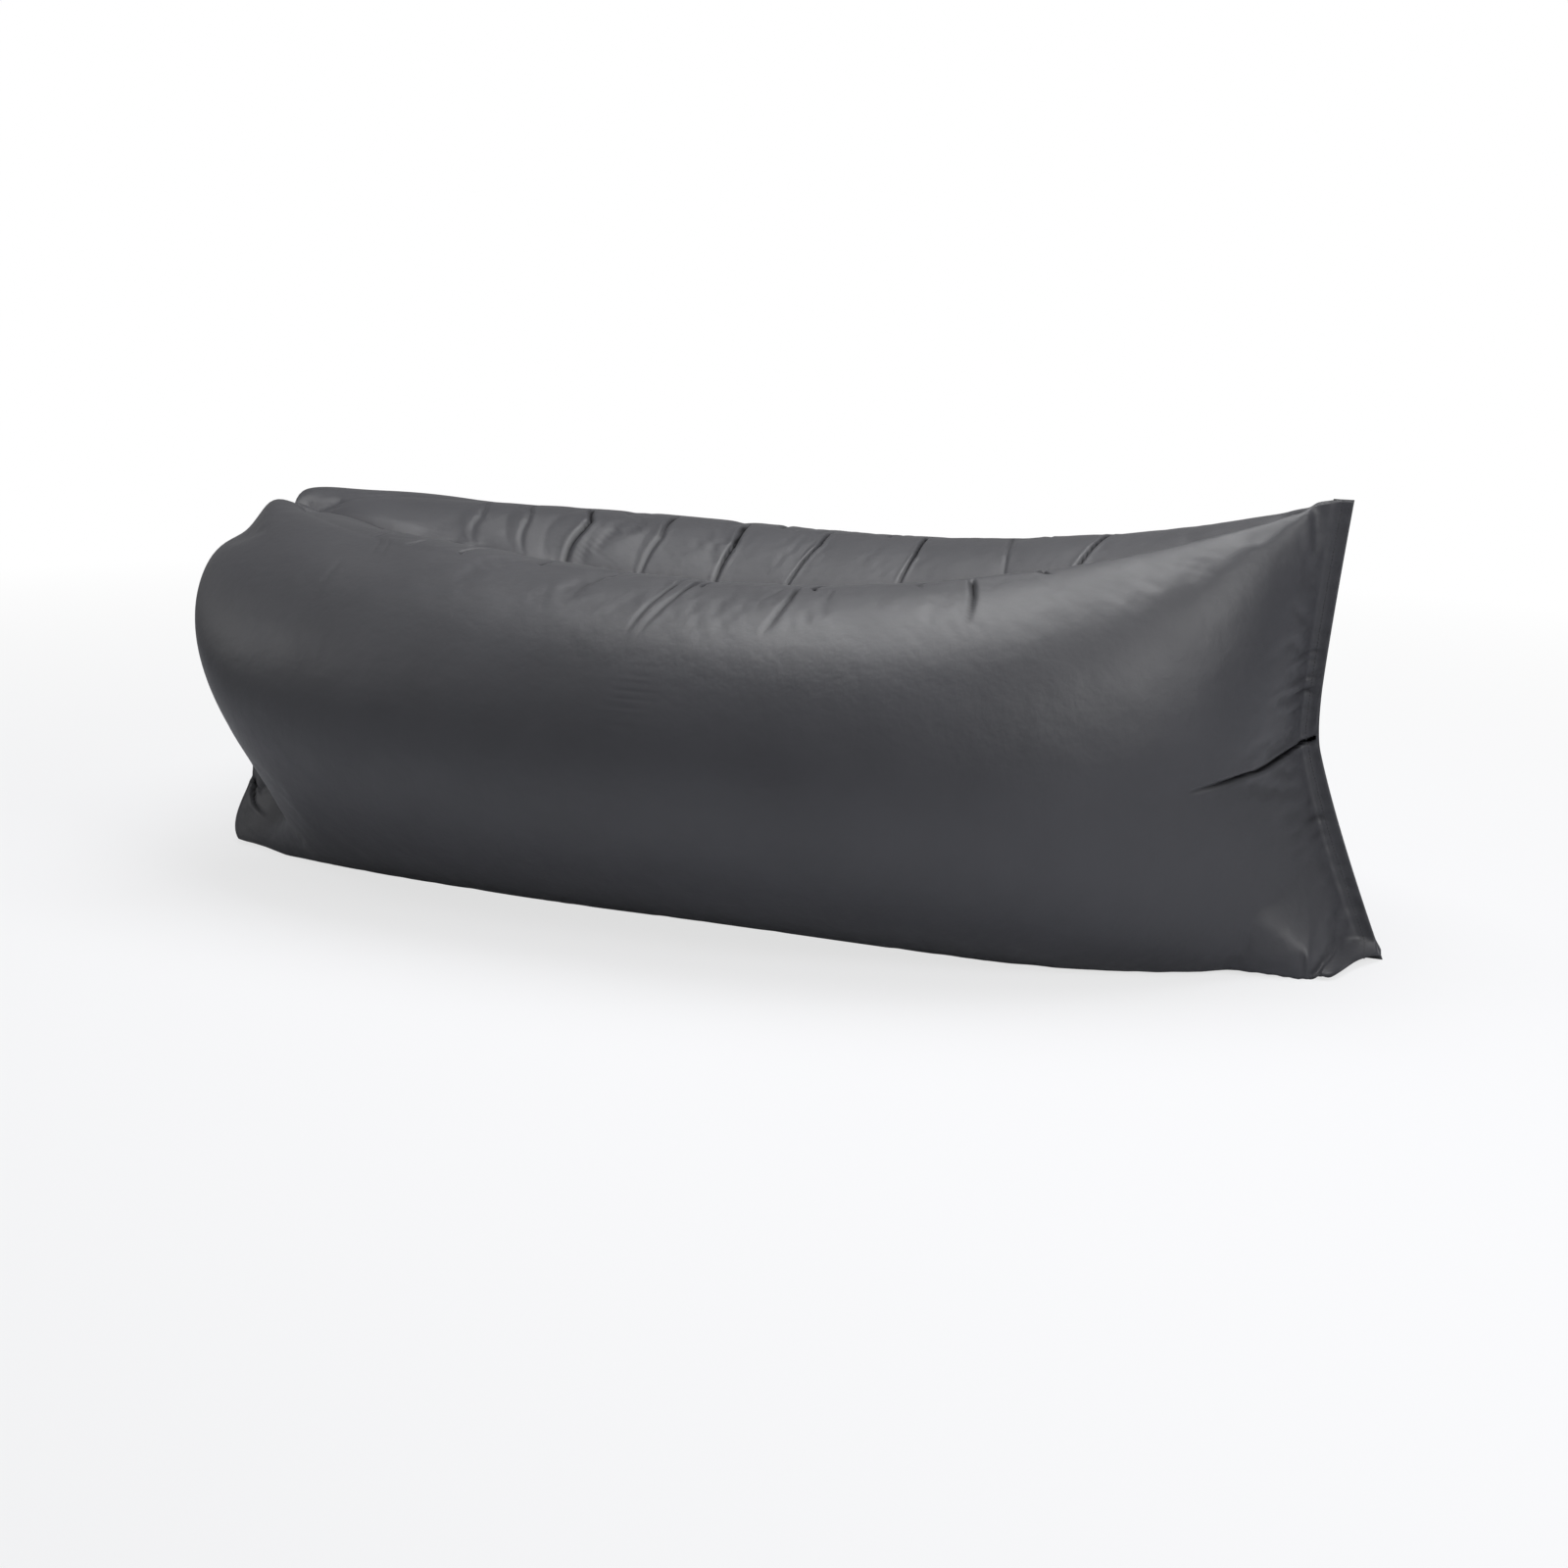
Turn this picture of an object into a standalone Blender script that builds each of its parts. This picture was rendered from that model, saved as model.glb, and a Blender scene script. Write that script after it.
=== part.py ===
"""Inflatable air lounger, blown up and clipped shut, in metres with +Z up.

Two fabric tubes lie side by side. They end in one upright seam at +X, and at -X
in a mouth that is rolled up, bent into an upright ring and held by a buckle.
"""

import bmesh
import bpy
import numpy as np
from math import asin, comb, cos, pi, sin
from mathutils import Vector

# Tube fabric
FLAT_WIDTH = 0.72
CLOSED_REACH = 0.843
MOUTH_REACH = 0.695
WAIST_LIFT = 0.037
FABRIC_WALL = 0.0012
LINER_WALL = 0.0008
MOUTH_SLIT = 0.0006
JOIN_TAPE_WIDTH = 0.020
JOIN_TAPE_THICKNESS = 0.0010
SEAT_GAP = 0.0003

# End seam and its hem
SEAM_HEIGHT = 0.630
SEAM_TOP_FLARE = 0.034
SEAM_FOOT_FLARE = 0.107
HEM_WIDTH = 0.028
HEM_THICKNESS = 0.0032

# Rolled mouth
RING_RADIUS = 0.130
ROLL_LAYER = 0.0024
ROLL_PITCH = 0.0036
CORE_HALF_WIDTH = 0.0156
CORE_HALF_DEPTH = 0.0042
STRIP_WIDTH = 0.016
STRIP_THICKNESS = 0.0008
STRIP_GAP = 0.0003
STRIP_INSET = 0.030

# Webbing tabs
WEB_WIDTH = 0.020
WEB_THICKNESS = 0.0012
WEB_TAIL = 0.022
WEB_RETURN = 0.024
WEB_LAYER_GAP = 0.0008

# Buckle
BUCKLE_WIDTH = 0.032
BUCKLE_DEPTH = 0.0094
BUCKLE_EDGE = 0.0018
BAR_RADIUS = 0.0018
SLOT_HEIGHT = 0.0032
SLOT_SIDE_CLEARANCE = 0.0008
PLUG_BASE = 0.0120
SOCKET_BODY = 0.0280
SOCKET_WALL = 0.0018
SOCKET_FLOOR = 0.0030
RUN_CLEARANCE = 0.0004
ARM_THICKNESS = 0.0022
ARM_ROOT_GAP = 0.0006
ARM_LENGTH = 0.0185
BARB_REACH = 0.0032
BARB_DROP = 0.0105
BARB_SLOPE = 0.0050
GUIDE_WIDTH = 0.0052
GUIDE_LENGTH = 0.0205
WINDOW_CLEARANCE = 0.0007
GRIP_RIB_DEPTH = 0.0006
GRIP_RIB_PITCH = 0.0030
GRIP_RIB_WIDTH = 0.0014

# Control sections of the tube's loft, as shares of the tube's diameter, or of the
# closed or the mouth reach where a name says reach. Threes run top fold, side, bottom fold.
NEAR_SEAM_RUN_SHARES = (0.35, 0.17)
NEAR_SEAM_FOLD_SHARES = (0.39, 0.44)
NEAR_SEAM_SIDE_SHARE = 0.55
NEAR_SEAM_TOP_SHARE = 1.165
NEAR_SEAM_FOOT_SHARE = -0.13
SHOULDER_REACH_SHARES = (0.38, 0.58)
BACK_SHOULDER_REACH_SHARES = (1.284, 0.667)
BACK_SHOULDER_INNER_SHARE = 0.641
BULGE_REACH_SHARES = (1.015, 1.600, 1.134)
BULGE_TILT_SHARES = (0.286, -0.265)
BULGE_SIDE_SHARES = (-0.160, 0.932, 0.128)
BULGE_HEIGHT_SHARES = (1.273, 0.813, -0.165)
BULGE_INNER_REACH_SHARE = 0.303
WRAP_BACK_SHARES = (0.098, -0.218, -0.006)
WRAP_INNER_BACK_SHARE = -0.202
WRAP_SIDE_SHARES = (0.006, 0.386, 0.398)
WRAP_RISE_SHARES = (0.209, -0.024, -0.194)
WRAP_FOLD_BACK_SHARES = (-0.437, 0.111)
WRAP_FOLD_RISE_SHARES = (0.059, -0.054)
WRAP_FOLD_POWER = 6
RING_HEIGHT_SHARE = 0.648
WEB_RETURN_SHARES = (0.4, 0.7, 1.0)
WEB_CLOSING_SHARES = (0.4, 0.0, 0.0)
SEAM_CURVE_POWER = 1.35
SEAM_ROW_SHARE = 0.035
MOUTH_ROW_SHARE = 0.92
MITRE_LIMIT_SHARE = 0.15
LINER_END_SHARE = 0.015

# Mesh counts
PANEL_COLUMNS = 12
CLOSED_ROWS = 8
MOUTH_ROWS = 10
LINER_FIRST_ROW = 3
ROLL_TURNS = 2
ROLL_POINTS_PER_TURN = 8
ROLL_STATIONS = 20
STRIP_STATIONS = 18
WEB_ARC_POINTS = 9
WEB_BEND_POINTS = 8
BAR_SIDES = 24

TUBE_DIAMETER = 2 * FLAT_WIDTH / pi
TUBE_RADIUS = TUBE_DIAMETER / 2
JOIN_HALF = JOIN_TAPE_THICKNESS / 2 + SEAT_GAP
MOUTH_STACK = 2 * (FABRIC_WALL + SEAT_GAP + LINER_WALL) + MOUTH_SLIT
ROLL_HALF_DEPTH = CORE_HALF_DEPTH + ROLL_TURNS * ROLL_PITCH + ROLL_LAYER / 2
ROLL_OUTER_RADIUS = RING_RADIUS + ROLL_HALF_DEPTH + SEAT_GAP
MOUTH_STEP = FLAT_WIDTH / ROLL_OUTER_RADIUS / PANEL_COLUMNS
MOUTH_RADIUS = ROLL_OUTER_RADIUS / cos(MOUTH_STEP / 2)
MOUTH_HALF_ANGLE = FLAT_WIDTH / MOUTH_RADIUS / 2
RING_X = -MOUTH_REACH
RING_Z = RING_HEIGHT_SHARE * TUBE_DIAMETER
BUCKLE_X = RING_X - RING_RADIUS
BUCKLE_FRAME = 2 * BAR_RADIUS + SLOT_HEIGHT
BUCKLE_HALF = BUCKLE_FRAME + (PLUG_BASE + SEAT_GAP + SOCKET_BODY) / 2
PLUG_FACE_Z = RING_Z + BUCKLE_HALF - BUCKLE_FRAME - PLUG_BASE
SOCKET_FACE_Z = PLUG_FACE_Z - SEAT_GAP
CAVITY_HALF_WIDTH = BUCKLE_WIDTH / 2 - SOCKET_WALL
CAVITY_DEPTH = BUCKLE_DEPTH - 2 * SOCKET_WALL
RIGHT_END = CLOSED_REACH + SEAM_FOOT_FLARE + HEM_WIDTH
BUCKLE_END = BUCKLE_X - BUCKLE_DEPTH / 2 - GRIP_RIB_DEPTH


def clear_scene():
    """Removes what the new file holds."""
    for old in list(bpy.data.objects):
        bpy.data.objects.remove(old)


def new_collection(name, hidden=False):
    """A collection under the scene's own."""
    group = bpy.data.collections.new(name)
    bpy.context.scene.collection.children.link(group)
    group.hide_render = hidden
    return group


def new_material(name, color, roughness, metallic=0.0):
    """A plain Principled finish."""
    made = bpy.data.materials.new(name)
    made.use_nodes = True
    shader = made.node_tree.nodes["Principled BSDF"]
    shader.inputs["Base Color"].default_value = (*color, 1.0)
    shader.inputs["Roughness"].default_value = roughness
    shader.inputs["Metallic"].default_value = metallic
    return made


def place(obj, group, material, root):
    """Puts a piece in its collection, gives it its finish and hangs it on the root empty."""
    for old in list(obj.users_collection):
        old.objects.unlink(obj)
    group.objects.link(obj)
    obj.data.materials.clear()
    obj.data.materials.append(material)
    obj.parent = root
    return obj


def by_height(shares, angle):
    """A value at the top fold, at mid height and at the bottom fold, blended by the angle's cosine."""
    top, side, foot = shares
    up = np.cos(angle)
    return side + (top - foot) / 2 * up + ((top + foot) / 2 - side) * up * up


def near_folds(shares, angle):
    """A value at the top fold and one at the bottom fold, each fading out quickly beside its fold."""
    top, foot = shares
    up = np.cos(angle)
    return top * np.clip(up, 0, 1) ** WRAP_FOLD_POWER + foot * np.clip(-up, 0, 1) ** WRAP_FOLD_POWER


def seam_line(angle):
    """The stitch line of the end seam: pinched at mid height, flared to its top and its foot."""
    up = np.cos(angle)
    flare = np.where(up > 0, SEAM_TOP_FLARE, SEAM_FOOT_FLARE)
    along = CLOSED_REACH + flare * np.abs(up) ** SEAM_CURVE_POWER
    return along, SEAM_HEIGHT * (1 + up) / 2


def mouth_line(angle, radius, inset=0.0):
    """The mouth's edge: an upright arc about the ring's centre, open towards -X."""
    half = MOUTH_HALF_ANGLE - inset / radius
    turn = half * (1 - 2 * angle / pi)
    return RING_X + radius * np.cos(turn), RING_Z + radius * np.sin(turn)


def side_depth(angle, inner, fold, side):
    """How far a half-elliptic section stands out: fold at both folds, and side or nothing at mid height."""
    swell = np.sin(angle)
    return np.where(inner, fold * (1 - swell), fold + (side - fold) * swell)


def closed_sections(angle, inner):
    """Four control sections from the end seam to the waist: a flat line, an oval and two circles."""
    swell = np.sin(angle)
    up = np.cos(angle)
    seam_x, seam_z = seam_line(angle)
    flat = np.stack([seam_x, 0 * angle, seam_z], -1)
    top_run, foot_run = (CLOSED_REACH * share for share in NEAR_SEAM_RUN_SHARES)
    run = top_run + (foot_run - top_run) * np.clip(-up, 0, 1)
    top_fold, foot_fold = (TUBE_DIAMETER * share for share in NEAR_SEAM_FOLD_SHARES)
    fold = (top_fold + foot_fold) / 2 + (top_fold - foot_fold) / 2 * up
    outer_y = fold + (NEAR_SEAM_SIDE_SHARE * TUBE_DIAMETER - fold) * swell
    depth = np.where(inner, fold * (1 - swell) ** 2, outer_y)
    middle = (NEAR_SEAM_TOP_SHARE + NEAR_SEAM_FOOT_SHARE) / 2 * TUBE_DIAMETER
    half = (NEAR_SEAM_TOP_SHARE - NEAR_SEAM_FOOT_SHARE) / 2 * TUBE_DIAMETER
    oval_x = np.where(inner, seam_x - run, seam_x - run * (1 - swell))
    oval = np.stack([oval_x, -depth, middle + half * up], -1)
    waist = waist_section(angle, inner)
    shoulder = waist.copy()
    fold_reach, side_reach = (CLOSED_REACH * share for share in SHOULDER_REACH_SHARES)
    shoulder[:, 0] = side_depth(angle, False, fold_reach, side_reach)
    shoulder[inner, 0] = fold_reach
    return flat, oval, shoulder, waist


def waist_section(angle, inner):
    """The circle that the blown-up fabric takes at the waist."""
    depth = side_depth(angle, inner, TUBE_RADIUS, TUBE_DIAMETER)
    height = WAIST_LIFT + TUBE_RADIUS * (1 + np.cos(angle))
    return np.stack([0 * angle, -depth, height], -1)


def mouth_sections(angle, inner):
    """Five control sections from the waist to the mouth: two circles, the bulge, its wrap and the mouth."""
    swell = np.sin(angle)
    waist = waist_section(angle, inner)
    shoulder = waist.copy()
    fold_share, side_share = BACK_SHOULDER_REACH_SHARES
    middle_share = np.where(inner, BACK_SHOULDER_INNER_SHARE, side_share)
    shoulder[:, 0] = -MOUTH_REACH * (fold_share + (middle_share - fold_share) * swell)
    inner_reach = (BULGE_REACH_SHARES[0], BULGE_INNER_REACH_SHARE, BULGE_REACH_SHARES[2])
    reach = np.where(inner, by_height(inner_reach, angle), by_height(BULGE_REACH_SHARES, angle))
    outer_tilt, inner_tilt = BULGE_TILT_SHARES
    bulge_x = reach + np.where(inner, inner_tilt, outer_tilt) * np.sin(2 * angle)
    bulge_fold = by_height((BULGE_SIDE_SHARES[0], 0, BULGE_SIDE_SHARES[2]), angle) * (1 - swell)
    bulge_y = np.where(inner, bulge_fold, by_height(BULGE_SIDE_SHARES, angle))
    bulge_z = by_height(BULGE_HEIGHT_SHARES, angle)
    bulge = np.stack([-MOUTH_REACH * bulge_x, -TUBE_DIAMETER * bulge_y, TUBE_DIAMETER * bulge_z], -1)
    edge = mouth_ring(0.0)
    inner_back = (WRAP_BACK_SHARES[0], WRAP_INNER_BACK_SHARE, WRAP_BACK_SHARES[2])
    back = np.where(inner, by_height(inner_back, angle), by_height(WRAP_BACK_SHARES, angle))
    back += near_folds(WRAP_FOLD_BACK_SHARES, angle)
    rise = by_height(WRAP_RISE_SHARES, angle) + near_folds(WRAP_FOLD_RISE_SHARES, angle)
    wrap_fold = by_height((WRAP_SIDE_SHARES[0], 0, WRAP_SIDE_SHARES[2]), angle) * (1 - swell)
    aside = np.where(inner, wrap_fold, by_height(WRAP_SIDE_SHARES, angle))
    wrap = edge + TUBE_DIAMETER * np.stack([-back, -aside, rise], -1)
    return waist, shoulder, bulge, wrap, edge


def bezier_rows(sections, shares):
    """Rows of a Bezier loft over control sections, at shares of the way from first to last."""
    degree = len(sections) - 1
    rows = []
    for share in shares:
        weights = [comb(degree, k) * share**k * (1 - share) ** (degree - k) for k in range(degree + 1)]
        rows.append(sum(weight * section for weight, section in zip(weights, sections)))
    return np.array(rows)


def panel_angles():
    """Angles round a tube, from the top fold down the outer panel and back up the inner one."""
    turn = np.arange(2 * PANEL_COLUMNS) * pi / PANEL_COLUMNS
    inner = np.arange(2 * PANEL_COLUMNS) > PANEL_COLUMNS
    return np.where(inner, 2 * pi - turn, turn), inner


def tube_rows():
    """The front tube's outer face as rows of points, from the end seam to the mouth."""
    angle, inner = panel_angles()
    closed_shares = np.insert(np.linspace(0, 1, CLOSED_ROWS + 1), 1, SEAM_ROW_SHARE)
    closed = bezier_rows(closed_sections(angle, inner), closed_shares)
    mouth_shares = np.insert(np.linspace(0, 1, MOUTH_ROWS + 1), MOUTH_ROWS, MOUTH_ROW_SHARE)
    mouth = bezier_rows(mouth_sections(angle, inner), mouth_shares)
    rows = np.concatenate([closed, mouth[1:]])
    least = np.where(inner, JOIN_HALF, JOIN_HALF + MOUTH_STACK)
    least[[0, PANEL_COLUMNS]] = JOIN_HALF + MOUTH_STACK / 2
    rows[:, :, 1] = np.minimum(rows[:, :, 1], -least)
    rows[:, :, 2] = np.maximum(rows[:, :, 2], 0)
    middle_layer = JOIN_HALF + FABRIC_WALL
    rows[0, inner, 1] = -JOIN_HALF
    rows[0, ~inner, 1] = -JOIN_HALF - 2 * FABRIC_WALL
    rows[0, [0, PANEL_COLUMNS], 1] = -middle_layer
    return rows


def outward(rows):
    """Steps out of a closed-round grid of points that move each patch beside a point by about one metre.

    A step is the mean normal of the patches around its point, and is longer where they meet at an angle.
    """
    beside = np.roll(rows, -1, axis=1)
    patches = np.cross(beside[1:] - rows[:-1], beside[:-1] - rows[1:])
    patches /= np.linalg.norm(patches, axis=2, keepdims=True)
    pairs = (patches + np.roll(patches, 1, axis=1)) / 2
    means = np.concatenate([pairs[:1], (pairs[:-1] + pairs[1:]) / 2, pairs[-1:]])
    lengths = np.linalg.norm(means, axis=2, keepdims=True)
    middle = rows.mean(axis=1, keepdims=True)
    facing = np.sign(((rows - middle) * means).sum(axis=2).mean())
    return facing * means / (lengths * np.maximum(lengths, MITRE_LIMIT_SHARE))


def mouth_ring(inset):
    """The last row of a layer: its two walls lie flat against each other where they enter the roll."""
    angle, inner = panel_angles()
    edge_x, edge_z = mouth_line(angle, MOUTH_RADIUS, inset)
    depth = np.where(inner, JOIN_HALF + inset, JOIN_HALF + MOUTH_STACK - inset)
    depth[[0, PANEL_COLUMNS]] = JOIN_HALF + MOUTH_STACK / 2
    ring = np.stack([edge_x, -depth, edge_z], -1)
    for fold in (0, PANEL_COLUMNS):
        beside = (ring[fold - 1] + ring[fold + 1]) / 2
        ring[fold] += (beside - ring[fold]) * inset / (MOUTH_STACK / 2)
    return ring


def layer_rows(rows, inset, first):
    """The tube's rows moved inwards by an inset, from a first row to the mouth."""
    moved = rows - outward(rows) * inset
    moved[-1] = mouth_ring(inset)
    return moved[first:]


def short_diagonals(rows):
    """Whether each patch between two rows is shorter from its first corner across than from its second."""
    beside = np.roll(rows, -1, axis=1)
    forward = np.linalg.norm(beside[1:] - rows[:-1], axis=2)
    backward = np.linalg.norm(beside[:-1] - rows[1:], axis=2)
    return forward < backward


def loft(name, rings, close_end, forward=None):
    """A closed solid over rings of points, with both ends closed in the given way.

    Patches are four-sided, or are split along the diagonals that are asked for.
    """
    count = rings.shape[1]
    mesh = bpy.data.meshes.new(name)
    shape = bmesh.new()
    grid = [[shape.verts.new(Vector(point)) for point in ring] for ring in rings.tolist()]
    for row, (ring, after) in enumerate(zip(grid, grid[1:])):
        for here in range(count):
            there = (here + 1) % count
            corners = (ring[here], ring[there], after[there], after[here])
            if forward is None:
                shape.faces.new(corners)
                continue
            start = 0 if forward[row, here] else 1
            shape.faces.new((corners[start], corners[start + 1], corners[start + 2]))
            shape.faces.new((corners[start], corners[start + 2], corners[start - 1]))
    close_end(shape, grid[0])
    close_end(shape, grid[-1])
    bmesh.ops.recalc_face_normals(shape, faces=shape.faces)
    shape.to_mesh(mesh)
    shape.free()
    return bpy.data.objects.new(name, mesh)


def close_flat(shape, ring):
    """Closes a ring with one face."""
    shape.faces.new(ring)


def close_panels(shape, ring):
    """Closes a ring from one panel to the other. Its first and middle points are the folds between them."""
    half = len(ring) // 2
    shape.faces.new((ring[0], ring[1], ring[-1]))
    shape.faces.new((ring[half], ring[half + 1], ring[half - 1]))
    for step in range(1, half - 1):
        shape.faces.new((ring[step], ring[step + 1], ring[-step - 1], ring[-step]))


def close_layer(shape, ring):
    """Closes a ring whose two halves run side by side."""
    for step in range(len(ring) // 2 - 1):
        shape.faces.new((ring[step], ring[step + 1], ring[-step - 2], ring[-step - 1]))


def mirrored(rings, side):
    """Rings of the front tube, or their mirror image for the rear one."""
    return rings * np.array([1, side, 1])


def open_sleeve(name, outside, inside, across, side):
    """A wall from a closed end to an open one: out along its outer face, and back along its inner face."""
    forward = np.concatenate([across, across[-1:], ~across[::-1][:len(inside) - 1]])
    return loft(name, mirrored(np.concatenate([outside, inside[::-1]]), side), close_panels, forward)


def tube_sleeve(name, rows, side):
    """A tube's fabric, solid from the seam line to its next row and open at the mouth."""
    inside = layer_rows(rows, FABRIC_WALL, 1)
    return open_sleeve(name, rows, inside, short_diagonals(rows), side)


def air_liner(name, rows, side):
    """A tube's film bladder: welded shut short of the end seam, and open between the fabric at the mouth."""
    inset = FABRIC_WALL + SEAT_GAP
    outside = layer_rows(rows, inset, LINER_FIRST_ROW)
    inside = layer_rows(rows, inset + LINER_WALL, LINER_FIRST_ROW)
    inside[0] += (inside[1] - inside[0]) * LINER_END_SHARE
    return open_sleeve(name, outside, inside, short_diagonals(rows)[LINER_FIRST_ROW:], side)


def join_tape(rows):
    """The tape that joins the two inner panels, along the line where they touch at mid height."""
    column = PANEL_COLUMNS + (PANEL_COLUMNS + 1) // 2
    line = rows[1:-1, column]
    half_y = JOIN_TAPE_THICKNESS / 2
    half_z = JOIN_TAPE_WIDTH / 2
    corners = [(-half_y, -half_z), (half_y, -half_z), (half_y, half_z), (-half_y, half_z)]
    rings = [[(x, y, z + rise) for y, rise in corners] for x, _, z in line.tolist()]
    return loft("join_tape", np.array(rings), close_flat)


def end_hem():
    """The hem of the end seam, from the stitch line to a rounded edge."""
    half = HEM_THICKNESS / 2
    rings = []
    for angle in np.linspace(0, pi, PANEL_COLUMNS + 1):
        x, z = seam_line(angle)
        start = x + SEAT_GAP
        edge = x + HEM_WIDTH
        profile = [(start, -half), (edge - half, -half), (edge, 0), (edge - half, half), (start, half)]
        rings.append([(along, y, z) for along, y in profile])
    return loft("end_seam_hem", np.array(rings, dtype=float), close_flat)


def swept_rings(profile, turns):
    """Rings of a profile, in radial and sideways places, carried round the mouth's ring."""
    rings = []
    for turn in turns:
        radius = RING_RADIUS + profile[:, 0]
        rings.append(np.stack([RING_X + radius * cos(turn), profile[:, 1], RING_Z + radius * sin(turn)], -1))
    return np.array(rings)


def roll_profile():
    """Both faces of the rolled layers: an oval spiral line, set off by half a layer to each side."""
    count = ROLL_TURNS * ROLL_POINTS_PER_TURN
    last = pi / 2 + 2 * pi / ROLL_POINTS_PER_TURN
    turn = last + np.linspace(-ROLL_TURNS * 2 * pi, 0, count + 1)
    growth = ROLL_PITCH * np.linspace(0, ROLL_TURNS, count + 1)
    depth = CORE_HALF_DEPTH + growth
    width = CORE_HALF_WIDTH + growth
    line = np.stack([depth * np.sin(turn), width * np.cos(turn)], -1)
    normal = np.stack([np.sin(turn) / depth, np.cos(turn) / width], -1)
    normal /= np.linalg.norm(normal, axis=1, keepdims=True)
    out = line + normal * ROLL_LAYER / 2
    back = line - normal * ROLL_LAYER / 2
    return np.concatenate([out, back[::-1]])


def rolled_mouth():
    """The mouth's stack of fabric and film, rolled up and bent round the ring."""
    turns = np.linspace(-MOUTH_HALF_ANGLE, MOUTH_HALF_ANGLE, ROLL_STATIONS + 1)
    return loft("rolled_mouth", swept_rings(roll_profile(), turns), close_layer)


def mouth_strip(name, side):
    """A flat plastic strip that stiffens one lip of the mouth, in the core of the roll."""
    near = STRIP_GAP / 2
    far = near + STRIP_THICKNESS
    half = STRIP_WIDTH / 2
    low, high = sorted((side * near, side * far))
    profile = np.array([(low, -half), (high, -half), (high, half), (low, half)])
    reach = MOUTH_HALF_ANGLE - STRIP_INSET / RING_RADIUS
    turns = np.linspace(-reach, reach, STRIP_STATIONS + 1)
    return loft(name, swept_rings(profile, turns), close_flat)


def web_path():
    """The upper tab's middle line from its tail in the roll, down, round the plug's bar and back up."""
    bar_z = RING_Z + BUCKLE_HALF - BAR_RADIUS
    loop = BAR_RADIUS + SEAT_GAP + WEB_THICKNESS / 2
    bar_radius = np.hypot(BUCKLE_X + loop - RING_X, bar_z - RING_Z)
    bar_turn = pi - asin((bar_z - RING_Z) / bar_radius)
    tail_turn = MOUTH_HALF_ANGLE - WEB_TAIL / RING_RADIUS
    turns = np.linspace(tail_turn, bar_turn, WEB_ARC_POINTS + 1)[:-1]
    clear = np.clip((turns - MOUTH_HALF_ANGLE) / (bar_turn - MOUTH_HALF_ANGLE), 0, 1)
    radii = RING_RADIUS + (bar_radius - RING_RADIUS) * clear
    inner = np.stack([RING_X + radii * np.cos(turns), RING_Z + radii * np.sin(turns)], -1)
    around = -np.linspace(0, pi, WEB_BEND_POINTS + 1)
    bend = np.stack([BUCKLE_X + loop * np.cos(around), bar_z + loop * np.sin(around)], -1)
    back_turns = bar_turn - WEB_RETURN / RING_RADIUS * np.array(WEB_RETURN_SHARES)
    closing = np.array(WEB_CLOSING_SHARES)
    lapped = bar_radius + WEB_THICKNESS + WEB_LAYER_GAP
    back_x = RING_X + lapped * np.cos(back_turns)
    back_x += (BUCKLE_X - loop - back_x) * closing
    back = np.stack([back_x, RING_Z + lapped * np.sin(back_turns)], -1)
    return np.concatenate([inner, bend, back])


def webbing_tab(name, side):
    """A webbing tab: a flat band along its path, for the upper plug or, mirrored, for the lower socket."""
    path = web_path()
    ahead = np.gradient(path, axis=0)
    ahead /= np.linalg.norm(ahead, axis=1, keepdims=True)
    normal = np.stack([-ahead[:, 1], ahead[:, 0]], -1) * WEB_THICKNESS / 2
    half = WEB_WIDTH / 2
    rings = []
    for (x, z), (over_x, over_z) in zip(path, normal):
        corners = [(x - over_x, -half, z - over_z), (x + over_x, -half, z + over_z)]
        corners += [(x + over_x, half, z + over_z), (x - over_x, half, z - over_z)]
        rings.append(corners)
    rings = np.array(rings)
    rings[:, :, 2] = RING_Z + side * (rings[:, :, 2] - RING_Z)
    return loft(name, rings, close_flat)


def block(name, low, high):
    """A box between two corners, with its size in its mesh."""
    bpy.ops.mesh.primitive_cube_add(size=1)
    made = bpy.context.active_object
    made.name = name
    low = Vector(low)
    high = Vector(high)
    for vertex in made.data.vertices:
        for axis in range(3):
            vertex.co[axis] = (low[axis] + high[axis]) / 2 + vertex.co[axis] * (high[axis] - low[axis])
    return made


def add_bevel(obj, width, segments=2):
    """Rounds a box's edges."""
    bevel = obj.modifiers.new("edges", "BEVEL")
    bevel.width = width
    bevel.segments = segments
    return obj


def cut(obj, cutter, cutters):
    """Takes a cutter out of a piece."""
    for old in list(cutter.users_collection):
        old.objects.unlink(cutter)
    cutters.objects.link(cutter)
    cutter.parent = obj
    cutter.display_type = "WIRE"
    cutter.hide_render = True
    joint = obj.modifiers.new(cutter.name, "BOOLEAN")
    joint.operation = "DIFFERENCE"
    joint.object = cutter


def add(obj, other, cutters):
    """Joins a helper shape to a piece."""
    cut(obj, other, cutters)
    obj.modifiers[-1].operation = "UNION"


def fit_bar(obj, name, bar_z, side, cutters):
    """Opens a buckle's end between its two rails and puts a round bar across it for the webbing."""
    half = WEB_WIDTH / 2 + SLOT_SIDE_CLEARANCE
    near = bar_z - side * (BAR_RADIUS + SLOT_HEIGHT)
    far = bar_z + side * (BAR_RADIUS + BUCKLE_EDGE)
    low = (BUCKLE_X - BUCKLE_DEPTH, -half, min(near, far))
    high = (BUCKLE_X + BUCKLE_DEPTH, half, max(near, far))
    cut(obj, block(f"{name}_end", low, high), cutters)
    bpy.ops.mesh.primitive_cylinder_add(vertices=BAR_SIDES, radius=BAR_RADIUS, depth=2 * half + BUCKLE_EDGE)
    bar = bpy.context.active_object
    bar.name = f"{name}_bar"
    bar.location = (BUCKLE_X, 0, bar_z)
    bar.rotation_euler = (pi / 2, 0, 0)
    add(obj, bar, cutters)


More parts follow.
